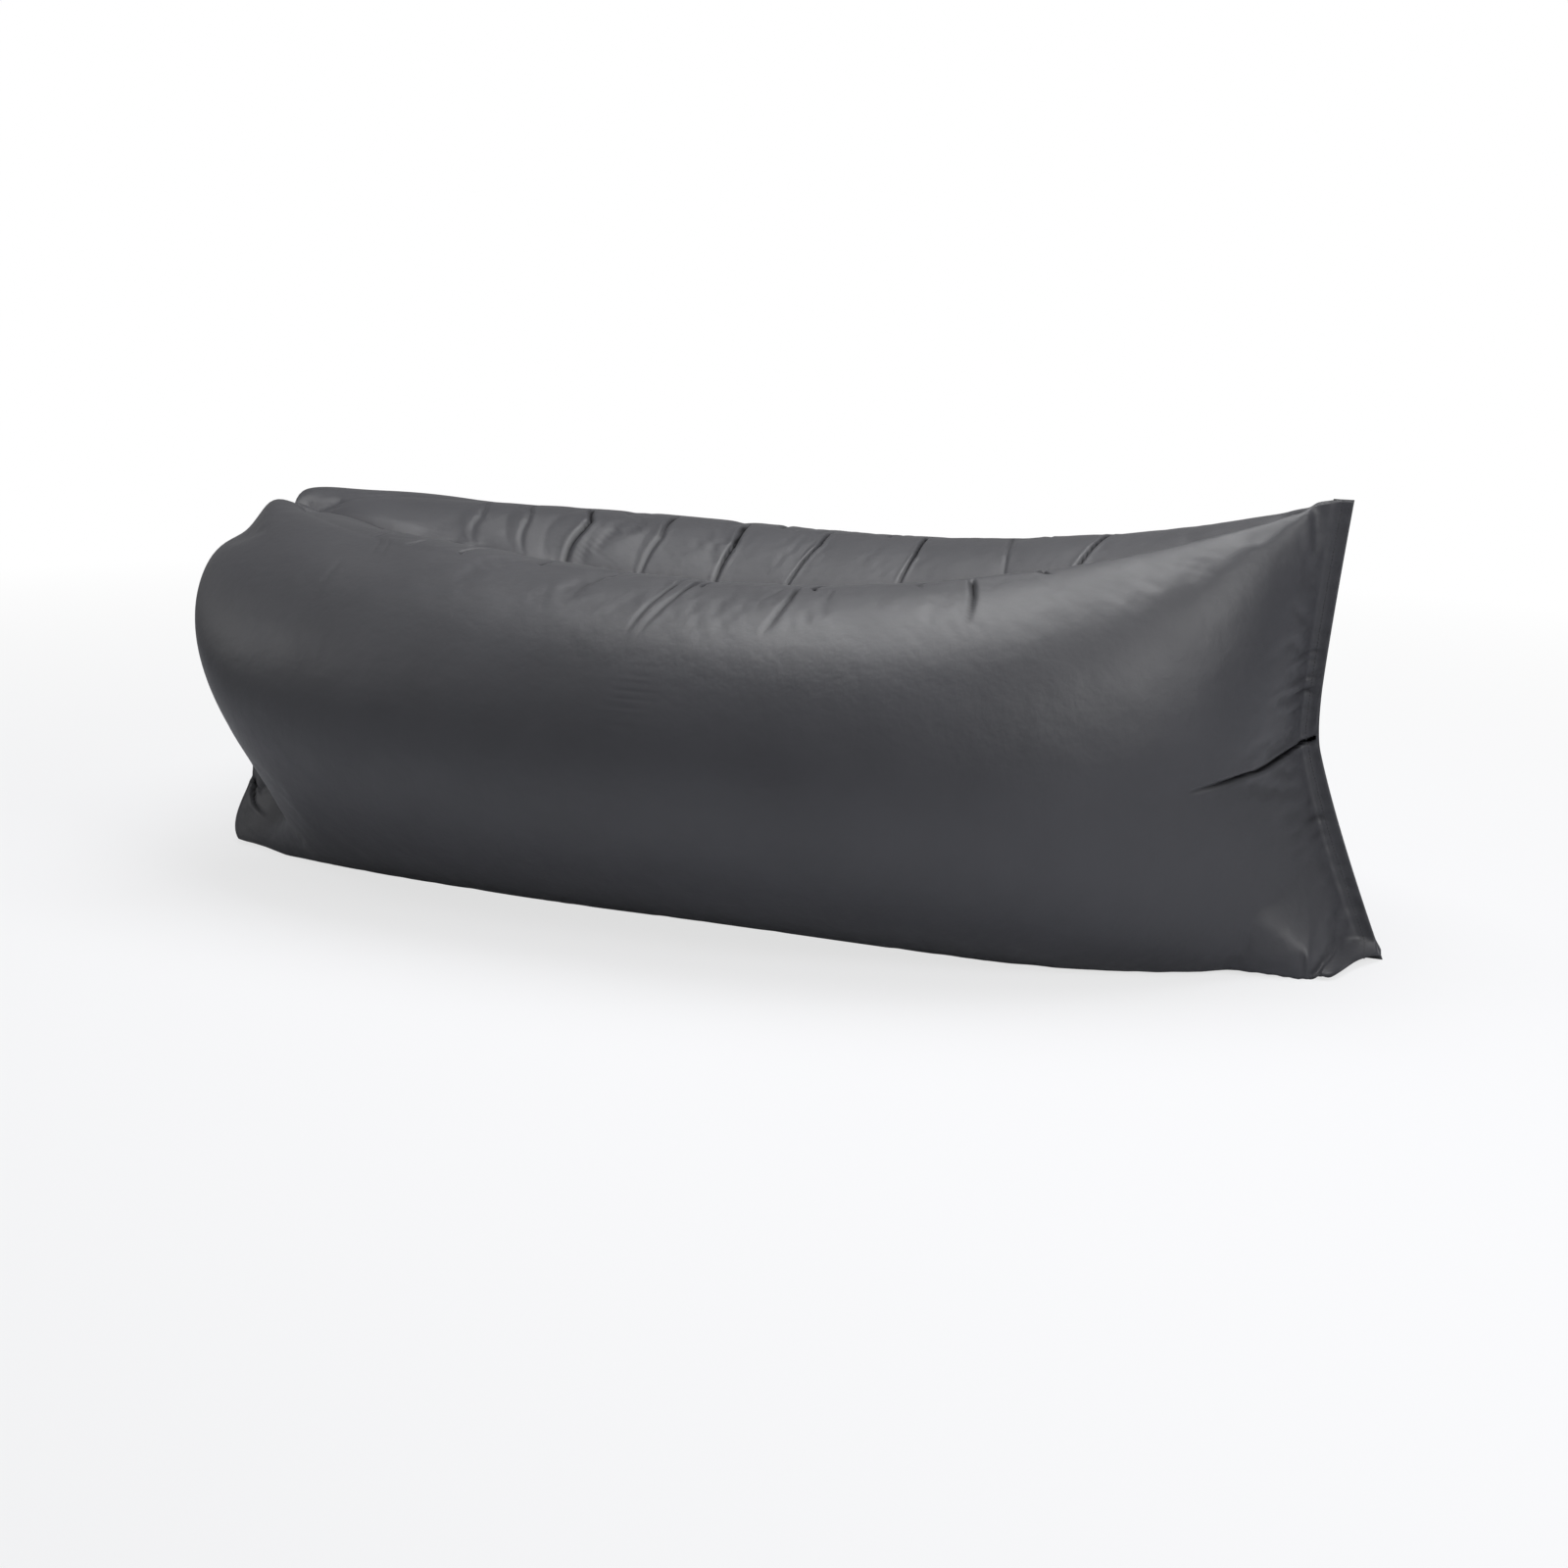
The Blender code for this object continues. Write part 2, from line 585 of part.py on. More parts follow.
def grip_rib(name, height, side):
    """One raised rib on a buckle's face for the thumb."""
    half = WEB_WIDTH / 2
    face = BUCKLE_X + side * BUCKLE_DEPTH / 2
    low_x, high_x = sorted((face - side * GRIP_RIB_DEPTH, face + side * GRIP_RIB_DEPTH))
    return block(name, (low_x, -half, height), (high_x, half, height + GRIP_RIB_WIDTH))


def buckle_plug(cutters):
    """The male half: a frame with a webbing bar, a ribbed base and a guide tongue."""
    top = RING_Z + BUCKLE_HALF
    half = BUCKLE_WIDTH / 2
    low = (BUCKLE_X - BUCKLE_DEPTH / 2, -half, PLUG_FACE_Z)
    high = (BUCKLE_X + BUCKLE_DEPTH / 2, half, top)
    plug = add_bevel(block("buckle_plug", low, high), BUCKLE_EDGE)
    fit_bar(plug, "plug", top - BAR_RADIUS, 1, cutters)
    tongue_x = CAVITY_DEPTH / 2 - RUN_CLEARANCE
    tongue_low = (BUCKLE_X - tongue_x, -GUIDE_WIDTH / 2, PLUG_FACE_Z - GUIDE_LENGTH)
    tongue_high = (BUCKLE_X + tongue_x, GUIDE_WIDTH / 2, PLUG_FACE_Z + PLUG_BASE / 2)
    add(plug, block("plug_tongue", tongue_low, tongue_high), cutters)
    for side in (-1, 1):
        first = PLUG_FACE_Z + GRIP_RIB_PITCH
        for count in range(2):
            rib = grip_rib(f"plug_rib_{side}_{count}", first + count * GRIP_RIB_PITCH, side)
            add(plug, rib, cutters)
    return plug


def arm_outline():
    """A spring arm's outline: a slim leg with a barb that catches at its shoulder and slopes to its nose."""
    out = CAVITY_HALF_WIDTH - RUN_CLEARANCE
    back = out - ARM_THICKNESS
    root = PLUG_FACE_Z - ARM_ROOT_GAP
    shoulder = PLUG_FACE_Z - BARB_DROP
    tip = PLUG_FACE_Z - ARM_LENGTH
    reach = out + BARB_REACH - RUN_CLEARANCE
    nose = shoulder - BARB_SLOPE
    leg = [(out, root), (back, root), (back, tip), (out, tip)]
    barb = [(reach, nose), (reach, shoulder), (out, shoulder)]
    return leg + barb


def plug_arm(name, side):
    """A spring arm of the plug, with its origin where it bends."""
    curve = bpy.data.curves.new(name, "CURVE")
    curve.dimensions = "2D"
    curve.fill_mode = "BOTH"
    curve.extrude = CAVITY_DEPTH / 2 - RUN_CLEARANCE
    outline = arm_outline()
    spline = curve.splines.new("POLY")
    spline.points.add(len(outline) - 1)
    bend_y = CAVITY_HALF_WIDTH - RUN_CLEARANCE - ARM_THICKNESS / 2
    bend_z = PLUG_FACE_Z - ARM_ROOT_GAP
    for point, (y, z) in zip(spline.points, outline):
        point.co = (side * (y - bend_y), z - bend_z, 0, 1)
    spline.use_cyclic_u = True
    flat = bpy.data.objects.new(name + "_outline", curve)
    bpy.context.scene.collection.objects.link(flat)
    bpy.context.view_layer.update()
    graph = bpy.context.evaluated_depsgraph_get()
    mesh = bpy.data.meshes.new_from_object(flat.evaluated_get(graph))
    bpy.data.objects.remove(flat)
    shape = bmesh.new()
    shape.from_mesh(mesh)
    bmesh.ops.remove_doubles(shape, verts=shape.verts, dist=SEAT_GAP / 100)
    bmesh.ops.recalc_face_normals(shape, faces=shape.faces)
    for vertex in shape.verts:
        across, up, thick = vertex.co
        vertex.co = (thick, across, up)
    bmesh.ops.recalc_face_normals(shape, faces=shape.faces)
    shape.to_mesh(mesh)
    shape.free()
    arm = bpy.data.objects.new(name, mesh)
    arm.location = (BUCKLE_X, side * bend_y, bend_z)
    return arm


def buckle_socket(cutters):
    """The female half: a hollow body with two side windows, and a frame with a webbing bar."""
    foot = RING_Z - BUCKLE_HALF
    half = BUCKLE_WIDTH / 2
    low = (BUCKLE_X - BUCKLE_DEPTH / 2, -half, foot)
    high = (BUCKLE_X + BUCKLE_DEPTH / 2, half, SOCKET_FACE_Z)
    socket = add_bevel(block("buckle_socket", low, high), BUCKLE_EDGE)
    fit_bar(socket, "socket", foot + BAR_RADIUS, -1, cutters)
    floor = foot + BUCKLE_FRAME + SOCKET_FLOOR
    cavity_low = (BUCKLE_X - CAVITY_DEPTH / 2, -CAVITY_HALF_WIDTH, floor)
    cavity_high = (BUCKLE_X + CAVITY_DEPTH / 2, CAVITY_HALF_WIDTH, SOCKET_FACE_Z + BUCKLE_EDGE)
    cut(socket, block("socket_cavity", cavity_low, cavity_high), cutters)
    window_top = PLUG_FACE_Z - BARB_DROP + WINDOW_CLEARANCE
    window_foot = PLUG_FACE_Z - ARM_LENGTH - WINDOW_CLEARANCE
    window_low = (BUCKLE_X - CAVITY_DEPTH / 2, -BUCKLE_WIDTH, window_foot)
    window_high = (BUCKLE_X + CAVITY_DEPTH / 2, BUCKLE_WIDTH, window_top)
    cut(socket, block("socket_windows", window_low, window_high), cutters)
    return socket


def build():
    """Makes every piece and puts it in place."""
    clear_scene()
    pieces = new_collection("air_lounger")
    cutters = new_collection("cutters", hidden=True)
    fabric = new_material("slate_fabric", (0.052, 0.054, 0.062), 0.62)
    film = new_material("clear_film", (0.72, 0.74, 0.76), 0.25)
    tape = new_material("seam_tape", (0.040, 0.041, 0.046), 0.55)
    strip = new_material("strip_plastic", (0.60, 0.60, 0.58), 0.45)
    webbing = new_material("black_webbing", (0.018, 0.018, 0.020), 0.75)
    moulded = new_material("black_plastic", (0.012, 0.012, 0.013), 0.38)
    root = bpy.data.objects.new("lounger", None)
    pieces.objects.link(root)
    rows = tube_rows()
    left_end = min(BUCKLE_END, rows[:, :, 0].min())
    root.location = (-(RIGHT_END + left_end) / 2, 0, 0)
    for name, side in (("front", 1), ("rear", -1)):
        place(tube_sleeve(f"{name}_tube_sleeve", rows, side), pieces, fabric, root)
        place(air_liner(f"{name}_air_liner", rows, side), pieces, film, root)
        place(mouth_strip(f"{name}_mouth_strip", side), pieces, strip, root)
    place(join_tape(rows), pieces, tape, root)
    place(end_hem(), pieces, fabric, root)
    place(rolled_mouth(), pieces, fabric, root)
    place(webbing_tab("upper_webbing_tab", 1), pieces, webbing, root)
    place(webbing_tab("lower_webbing_tab", -1), pieces, webbing, root)
    place(buckle_plug(cutters), pieces, moulded, root)
    place(buckle_socket(cutters), pieces, moulded, root)
    for name, side in (("plug_arm_front", -1), ("plug_arm_rear", 1)):
        place(plug_arm(name, side), pieces, moulded, root)


build()
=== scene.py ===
"""Looks of the air lounger: its cloth covers, hem, rolled mouth, webbing and buckle, in a plain studio."""

import bpy
import numpy as np
from math import asin, comb, cos, pi
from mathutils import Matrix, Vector


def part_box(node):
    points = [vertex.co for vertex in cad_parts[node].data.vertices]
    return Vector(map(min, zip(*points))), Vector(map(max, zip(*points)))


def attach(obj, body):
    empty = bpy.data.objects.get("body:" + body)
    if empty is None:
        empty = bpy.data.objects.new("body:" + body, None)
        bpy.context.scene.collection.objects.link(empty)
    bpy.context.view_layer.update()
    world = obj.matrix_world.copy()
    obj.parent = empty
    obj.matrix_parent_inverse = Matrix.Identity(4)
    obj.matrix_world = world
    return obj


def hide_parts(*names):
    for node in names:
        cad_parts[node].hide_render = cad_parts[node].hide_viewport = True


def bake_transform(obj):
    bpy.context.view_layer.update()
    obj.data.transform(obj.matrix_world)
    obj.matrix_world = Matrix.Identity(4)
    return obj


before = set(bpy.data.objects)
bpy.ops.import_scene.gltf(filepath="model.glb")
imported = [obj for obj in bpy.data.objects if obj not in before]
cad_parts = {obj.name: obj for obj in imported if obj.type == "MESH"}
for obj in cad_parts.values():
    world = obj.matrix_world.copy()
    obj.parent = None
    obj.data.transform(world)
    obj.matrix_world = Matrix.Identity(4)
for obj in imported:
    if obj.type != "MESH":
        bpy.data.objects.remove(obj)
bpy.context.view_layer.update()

# Cut cloth and the form it takes when it is blown up, in metres
FLAT_WIDTH = 0.72
TUBE = 2 * FLAT_WIDTH / pi
CLOSED_REACH = 0.843
MOUTH_REACH = 0.695
WAIST_LIFT = 0.037
SEAM_HEIGHT = 0.630
TOP_FLARE = 0.034
FOOT_FLARE = 0.107
FLARE_POWER = 1.35
HEM_FLARE_POWER = 1.2
HEM_WIDTH = 0.028
HEM_CORE = 0.0015
STITCH_INSET = 0.0150
STITCH_PITCH = 0.0048
STITCH_LENGTH = 0.0030
STITCH_RADIUS = 0.00050
STITCH_SIDES = 6
STITCH_STATIONS = 5
TAPE_WIDTH = 0.020
TAPE_THICKNESS = 0.0010
RING_RADIUS = 0.130
ROLL_OUTER_RADIUS = 0.1429
RING_Z = 0.648 * TUBE
COVER_GAP = 0.0009
MOUTH_STACK = 0.0052
FLOOR_GAP = 0.0004

# Control sections of the tube, as shares of its diameter, or of the closed or the mouth reach where a
# name says reach. Threes run top fold, side, bottom fold.
NEAR_SEAM_RUN_SHARES = (0.35, 0.17)
NEAR_SEAM_FOLD_SHARE = 0.415
NEAR_SEAM_FOLD_DROP_SHARE = 0.025
NEAR_SEAM_SIDE_SHARE = 0.55
NEAR_SEAM_TOP_SHARE = 1.165
NEAR_SEAM_FOOT_SHARE = -0.13
SHOULDER_REACH_SHARE = 0.38
SHOULDER_SIDE_REACH_SHARE = 0.20
BACK_SHOULDER_REACH_SHARES = (1.284, 0.667)
BACK_SHOULDER_INNER_REACH_SHARE = 0.641
BULGE_REACH_SHARES = (1.015, 1.600, 1.134)
BULGE_INNER_REACH_SHARES = (1.015, 0.303, 1.134)
BULGE_TILT_SHARES = (0.286, -0.265)
BULGE_FOLD_SHARES = (-0.160, 0, 0.128)
BULGE_SIDE_SHARES = (-0.160, 0.932, 0.128)
BULGE_HEIGHT_SHARES = (1.273, 0.813, -0.165)
WRAP_BACK_SHARES = (0.098, -0.218, -0.006)
WRAP_INNER_BACK_SHARES = (0.098, -0.202, -0.006)
WRAP_FOLD_BACK_SHARES = (-0.437, 0.111)
WRAP_RISE_SHARES = (0.209, -0.024, -0.194)
WRAP_FOLD_RISE_SHARES = (0.059, -0.054)
WRAP_FOLD_SHARES = (0.006, 0, 0.398)
WRAP_SIDE_SHARES = (0.006, 0.386, 0.398)
WRAP_FOLD_POWER = 6
MOUTH_FOLD_SPREAD = 5
FORM_ROWS = 161
FORM_COLUMNS = 181

# Grid over a cover, whose skin runs on over the hem as a lip. A crowd is a place, its spread and how many
# more rows or columns it gets, all as shares.
ROWS = 800
COLUMNS = 264
ROW_CROWDS = ((0, 0.06, 0.6), (1, 0.12, 0.4))
OUTER_CROWDS = ((0.52, 0.05, 3.0), (0.34, 0.06, 1.2), (0, 0.12, 0.6), (0.93, 0.05, 1.0))
INNER_CROWDS = ((0, 0.30, 0.8),)
CROWD_STEPS = 2001
LIP_ROWS = 14
LIP_SETBACK = 0.0004
LIP_EDGE = 0.0007
LIP_SEAM = 0.0090
LIP_FLAT = 0.42
LIP_RISE_POWER = 1.3
SEAM_EASE = 0.070
SEAM_EASE_START = 0.07
SEAM_EASE_STOP = 0.18
SEAM_EASE_FADE = 0.14
SEAM_EASE_LEAST = 0.0002

# Where the closed end's wall lies on the floor, before the shift to the frame
FOOT_LINE_START = (0.497, -0.234)
FOOT_LINE_SLOPE = 0.12 / 0.45
FOOT_TIP = 0.979
FOOT_CORNER_RUN = 0.032
FOOT_CORNER_SLOPE = 1.2
FOOT_CORNER_POWER = 10
FOOT_SPREAD_HEIGHT = 0.22
FOOT_SPREAD_PLACE = (0.40, 0.10)
FOOT_WALL_SHARES = (0.2, 0.3)
FOOT_DRAWN_HEIGHT = 0.03
FOOT_SEAM_FADE = 0.07
FOOT_TUCK = 0.014
FOOT_TUCK_PLACE = (0.95, 0.40)
FOOT_TUCK_SLOPE = 1.3

# Nudges to the blown-up form: metres along and round the cloth, their reaches, and the move
NUDGES = (
    ((1.78, -0.12), (0.20, 0.10), (0.000, 0.000, -0.042)),
    ((1.50, -0.16), (0.14, 0.08), (0.000, 0.000, -0.012)),
    ((1.78, 0.045), (0.05, 0.030), (-0.006, 0.000, 0.013)),
    ((1.77, 0.110), (0.10, 0.035), (0.009, 0.003, -0.005)),
    ((1.78, 0.010), (0.05, 0.030), (0.000, 0.000, -0.006)),
    ((1.45, 0.060), (0.12, 0.060), (0.000, 0.000, -0.008)),
    ((1.30, -0.070), (0.14, 0.050), (0.000, 0.000, 0.004)),
    ((1.74, 0.28), (0.12, 0.16), (-0.012, 0.000, 0.000)),
    ((1.90, 0.72), (0.06, 0.09), (0.026, 0.000, 0.000)),
    ((1.83, 0.72), (0.05, 0.08), (0.008, 0.000, 0.000)),
    ((1.73, 0.72), (0.07, 0.08), (-0.012, 0.000, -0.014)),
    ((1.05, 0.70), (0.55, 0.13), (0.000, 0.000, -0.028)),
)
REAR_NUDGES = (
    ((1.81, 0.020), (0.07, 0.050), (-0.034, 0.000, -0.003)),
    ((1.75, 0.070), (0.09, 0.050), (-0.012, 0.000, -0.004)),
    ((1.86, 0.000), (0.05, 0.050), (-0.030, 0.000, 0.004)),
)

# Webbing and buckle
WEB_WIDTH = 0.020
WEB_THICKNESS = 0.0012
WEB_TAIL = 0.022
WEB_RETURN = 0.024
WEB_LAYER_GAP = 0.0008
WEB_POINTS = 181
BAR_RADIUS = 0.0018
BUCKLE_HALF = 0.02695
SEAT_GAP = 0.0003

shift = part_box("end_seam_hem")[1].x - (CLOSED_REACH + FOOT_FLARE + HEM_WIDTH)
mouth_radius = ROLL_OUTER_RADIUS / cos(FLAT_WIDTH / ROLL_OUTER_RADIUS / 24)
mouth_half_angle = FLAT_WIDTH / mouth_radius / 2


def mesh_object(name, points, faces):
    """A smooth-shaded mesh object from points and faces, at the origin."""
    mesh = bpy.data.meshes.new(name)
    mesh.from_pydata(np.asarray(points, float).reshape(-1, 3).tolist(), [], [list(face) for face in faces])
    mesh.update()
    mesh.shade_smooth()
    made = bpy.data.objects.new(name, mesh)
    bpy.context.scene.collection.objects.link(made)
    return made


def grid_faces(rows, columns):
    """Four-sided faces over a grid of rows and columns, whose last column joins its first."""
    index = np.arange(rows * columns).reshape(rows, columns)
    beside = np.roll(index, -1, axis=1)
    return np.stack([index[:-1], beside[:-1], beside[1:], index[1:]], -1).reshape(-1, 4)


def lengthwise_uv(made, long_places, round_places):
    """A UV map in metres: across is the way round the piece, and up is the way along it.

    The places round it are one more than its columns, because the last column joins the first.
    """
    mesh = made.data
    columns = len(round_places) - 1
    corner = np.empty(len(mesh.loops), int)
    mesh.loops.foreach_get("vertex_index", corner)
    row, column = np.divmod(corner, columns)
    face_start = np.empty(len(mesh.polygons), int)
    mesh.polygons.foreach_get("loop_start", face_start)
    face_size = np.empty(len(mesh.polygons), int)
    mesh.polygons.foreach_get("loop_total", face_size)
    face = np.repeat(np.arange(len(face_start)), face_size)
    widest = np.maximum.reduceat(column, face_start)[face]
    column = np.where((column == 0) & (widest == columns - 1), columns, column)
    places = np.stack([np.asarray(round_places)[column], np.asarray(long_places)[row]], -1)
    layer = mesh.uv_layers.new(name="cloth")
    layer.uv.foreach_set("vector", places.astype(np.float32).ravel())


def closed_tube(name, rings):
    """A closed skin over rings of points, with both ends closed by a face. Faces point outwards."""
    rows, columns = rings.shape[:2]
    faces = grid_faces(rows, columns).tolist()
    faces.append(list(range(columns))[::-1])
    faces.append(list(range((rows - 1) * columns, rows * columns)))
    if signed_volume(rings) < 0:
        faces = [face[::-1] for face in faces]
    return mesh_object(name, rings, faces)


def signed_volume(rings):
    """Six times the volume inside the rings, negative where their faces would point inwards."""
    beside = np.roll(rings, -1, axis=1)
    first_half = np.cross(rings[:-1], beside[:-1]) * beside[1:]
    second_half = np.cross(rings[:-1], beside[1:]) * rings[1:]
    return first_half.sum() + second_half.sum()


# Tube form


def by_height(values, angle):
    """top/side/foot blended by c = cos(angle): side + (top-foot)/2*c + ((top+foot)/2-side)*c*c."""
    top, side, foot = values
    up = np.cos(angle)
    return side + (top - foot) / 2 * up + ((top + foot) / 2 - side) * up * up


def near_folds(values, angle):
    """top*c^6 where c = cos(angle) is above nought, and foot*c^6 where it is below."""
    top, foot = values
    up = np.cos(angle)
    return top * np.clip(up, 0, 1) ** WRAP_FOLD_POWER + foot * np.clip(-up, 0, 1) ** WRAP_FOLD_POWER


def seam_line(angle):
    """x = reach + flare*|cos|^1.35 with one flare up and another down, z = height*(1+cos)/2."""
    up = np.cos(angle)
    flare = np.where(up > 0, TOP_FLARE, FOOT_FLARE)
    return CLOSED_REACH + flare * np.abs(up) ** FLARE_POWER, SEAM_HEIGHT * (1 + up) / 2


def hem_reach(up):
    """How far the hem's edge stands past the seam line's bend: flare*(|up|^1.2 - |up|^1.35)."""
    flare = np.where(up > 0, TOP_FLARE, FOOT_FLARE)
    return flare * (np.abs(up) ** HEM_FLARE_POWER - np.abs(up) ** FLARE_POWER)


def side_depth(angle, inner, fold, side):
    """Outer panel: fold + (side-fold)*sin. Inner panel: fold*(1-sin)."""
    swell = np.sin(angle)
    return np.where(inner, fold * (1 - swell), fold + (side - fold) * swell)


def waist_section(angle, inner):
    """A circle of the tube's diameter, lifted off the floor."""
    depth = side_depth(angle, inner, TUBE / 2, TUBE)
    return np.stack([0 * angle, -depth, WAIST_LIFT + TUBE / 2 * (1 + np.cos(angle))], -1)


def closed_controls(angle, inner):
    """Seam line, oval beside it, shoulder circle and waist circle."""
    swell = np.sin(angle)
    up = np.cos(angle)
    seam_x, seam_z = seam_line(angle)
    flat = np.stack([seam_x, 0 * angle, seam_z], -1)
    run_top, run_foot = NEAR_SEAM_RUN_SHARES
    run = CLOSED_REACH * (run_top + (run_foot - run_top) * np.clip(-up, 0, 1))
    fold = TUBE * (NEAR_SEAM_FOLD_SHARE - NEAR_SEAM_FOLD_DROP_SHARE * up)
    depth = np.where(inner, fold * (1 - swell) ** 2, fold + (NEAR_SEAM_SIDE_SHARE * TUBE - fold) * swell)
    oval_x = np.where(inner, seam_x - run, seam_x - run * (1 - swell))
    middle = (NEAR_SEAM_TOP_SHARE + NEAR_SEAM_FOOT_SHARE) / 2
    half_height = (NEAR_SEAM_TOP_SHARE - NEAR_SEAM_FOOT_SHARE) / 2
    oval = np.stack([oval_x, -depth, TUBE * (middle + half_height * up)], -1)
    waist = waist_section(angle, inner)
    shoulder = waist.copy()
    outer_reach = SHOULDER_REACH_SHARE + SHOULDER_SIDE_REACH_SHARE * swell
    shoulder[..., 0] = CLOSED_REACH * np.where(inner, SHOULDER_REACH_SHARE, outer_reach)
    return flat, oval, shoulder, waist


def mouth_controls(angle, inner):
    """Waist circle, back shoulder, end bulge, its wrap round the roll, and the mouth's arc."""
    swell = np.sin(angle)
    waist = waist_section(angle, inner)
    shoulder = waist.copy()
    folds, side = BACK_SHOULDER_REACH_SHARES
    side = np.where(inner, BACK_SHOULDER_INNER_REACH_SHARE, side)
    shoulder[..., 0] = -MOUTH_REACH * (folds + (side - folds) * swell)
    outer_reach = by_height(BULGE_REACH_SHARES, angle)
    reach = np.where(inner, by_height(BULGE_INNER_REACH_SHARES, angle), outer_reach)
    outer_tilt, inner_tilt = BULGE_TILT_SHARES
    bulge_x = reach + np.where(inner, inner_tilt, outer_tilt) * np.sin(2 * angle)
    bulge_fold = by_height(BULGE_FOLD_SHARES, angle) * (1 - swell)
    bulge_y = np.where(inner, bulge_fold, by_height(BULGE_SIDE_SHARES, angle))
    bulge_z = by_height(BULGE_HEIGHT_SHARES, angle)
    bulge = np.stack([-MOUTH_REACH * bulge_x, -TUBE * bulge_y, TUBE * bulge_z], -1)
    turn = mouth_half_angle * (1 - 2 * angle / pi)
    fold = np.clip(MOUTH_FOLD_SPREAD * swell, 0, 1)
    edge_x = mouth_radius * np.cos(turn) - MOUTH_REACH
    edge_y = -COVER_GAP - MOUTH_STACK * (0.5 + np.where(inner, -fold, fold) / 2)
    edge = np.stack([edge_x, edge_y, RING_Z + mouth_radius * np.sin(turn)], -1)
    outer_back = by_height(WRAP_BACK_SHARES, angle)
    back = np.where(inner, by_height(WRAP_INNER_BACK_SHARES, angle), outer_back)
    back = back + near_folds(WRAP_FOLD_BACK_SHARES, angle)
    rise = by_height(WRAP_RISE_SHARES, angle) + near_folds(WRAP_FOLD_RISE_SHARES, angle)
    wrap_fold = by_height(WRAP_FOLD_SHARES, angle) * (1 - swell)
    aside = np.where(inner, wrap_fold, by_height(WRAP_SIDE_SHARES, angle))
    wrap = edge + TUBE * np.stack([-back, -aside, rise], -1)
    return waist, shoulder, bulge, wrap, edge


def bezier(controls, shares):
    """Bernstein-weighted sum of control sections: sum of C(n,k) t^k (1-t)^(n-k) P_k."""
    degree = len(controls) - 1
    t = np.asarray(shares)[:, None, None]
    weights = [comb(degree, k) * t**k * (1 - t) ** (degree - k) for k in range(degree + 1)]
    return sum(weight * section for weight, section in zip(weights, controls))


def line_at(line, shares):
    """A line's points at shares of its length."""
    gone = np.concatenate([[0], np.cumsum(np.linalg.norm(np.diff(line, axis=0), axis=1))])
    return np.stack([np.interp(shares * gone[-1], gone, line[:, axis]) for axis in range(3)], -1)


def tube_form(row_shares, outer_shares, inner_shares):
    """The front tube's surface: rows at shares of its length, columns at shares of a panel's width."""
    dense = np.linspace(0, 1, FORM_ROWS)
    angle = np.linspace(0, pi, FORM_COLUMNS)
    panels = []
    for inner in (np.zeros(FORM_COLUMNS, bool), np.ones(FORM_COLUMNS, bool)):
        closed = bezier(closed_controls(angle, inner), dense)
        mouth = bezier(mouth_controls(angle, inner), dense)
        panels.append(np.concatenate([closed, mouth[1:]]))
    steps = np.linalg.norm(np.diff(panels[0], axis=0), axis=2).mean(axis=1)
    along = np.concatenate([[0], np.cumsum(steps)])
    wanted = row_shares * along[-1]
    low = np.clip(np.searchsorted(along, wanted) - 1, 0, len(along) - 2)
    part = ((wanted - along[low]) / (along[low + 1] - along[low]))[:, None, None]
    halves = []
    for panel, shares in zip(panels, (outer_shares, inner_shares)):
        lined = panel[low] * (1 - part) + panel[low + 1] * part
        halves.append(np.stack([line_at(line, shares) for line in lined]))
    return np.concatenate([halves[0], halves[1][:, -2:0:-1]], axis=1), along[-1]


def cloth_places(long_places, outer_shares, inner_shares):
    """Each point's metres along the tube from the end seam, and metres round it from its ridge.

    Places on the inner panel are less than nought.
    """
    round_places = np.concatenate([outer_shares, -inner_shares[-2:0:-1]]) * FLAT_WIDTH
    return np.meshgrid(long_places, round_places, indexing="ij")


def smooth_step(value):
    """3t^2 - 2t^3 of a value held between nought and one."""
    t = np.clip(value, 0, 1)
    return t * t * (3 - 2 * t)


def with_lip(points):
    """The skin carried on past the end seam over the hem, where it lies against the other tube's.

    The outer face is edge + (seam-edge)*rise^1.3*sqrt(sin) away from the middle plane, where rise is nought
    from the edge to the stitches and goes on to one at the seam line.
    """
    seam = points[0]
    up = np.clip(2 * seam[:, 2] / SEAM_HEIGHT - 1, -1, 1)
    beyond = HEM_WIDTH - LIP_SETBACK + hem_reach(up)
    columns = len(seam)
    outer = np.arange(columns) < columns // 2
    swell = np.where(outer, np.sqrt(np.sqrt(np.clip(1 - up * up, 0, 1))), 0)
    share = (np.arange(LIP_ROWS + 1) / LIP_ROWS)[:, None]
    rise = np.clip((share - LIP_FLAT) / (1 - LIP_FLAT), 0, 1) ** LIP_RISE_POWER
    depth = LIP_EDGE * outer + (LIP_SEAM - LIP_EDGE) * rise * swell
    x = seam[None, :, 0] + (1 - share) * beyond
    lip = np.stack([x, -COVER_GAP - depth, seam[None, :, 2] + 0 * x], -1)
    return np.concatenate([lip, points[1:]])


def eased_seam(points, long_places):
    """Rows near the seam line averaged with their neighbours, so that the hem runs on into the tube.

    A row at distance d weighs exp(-(d/reach)^2), and reach fades to nothing at the edge and 18 cm inside.
    """
    rising = smooth_step((long_places + HEM_WIDTH) / SEAM_EASE_START)
    reach = SEAM_EASE * rising * smooth_step((SEAM_EASE_STOP - long_places) / SEAM_EASE_FADE)
    apart = long_places[:, None] - long_places[None]
    nearness = np.exp(-((apart / (reach[:, None] + SEAM_EASE_LEAST)) ** 2))
    weights = nearness * np.gradient(long_places)[None]
    weights /= weights.sum(axis=1, keepdims=True)
    return np.einsum("rs,sck->rck", weights, points, optimize=True)


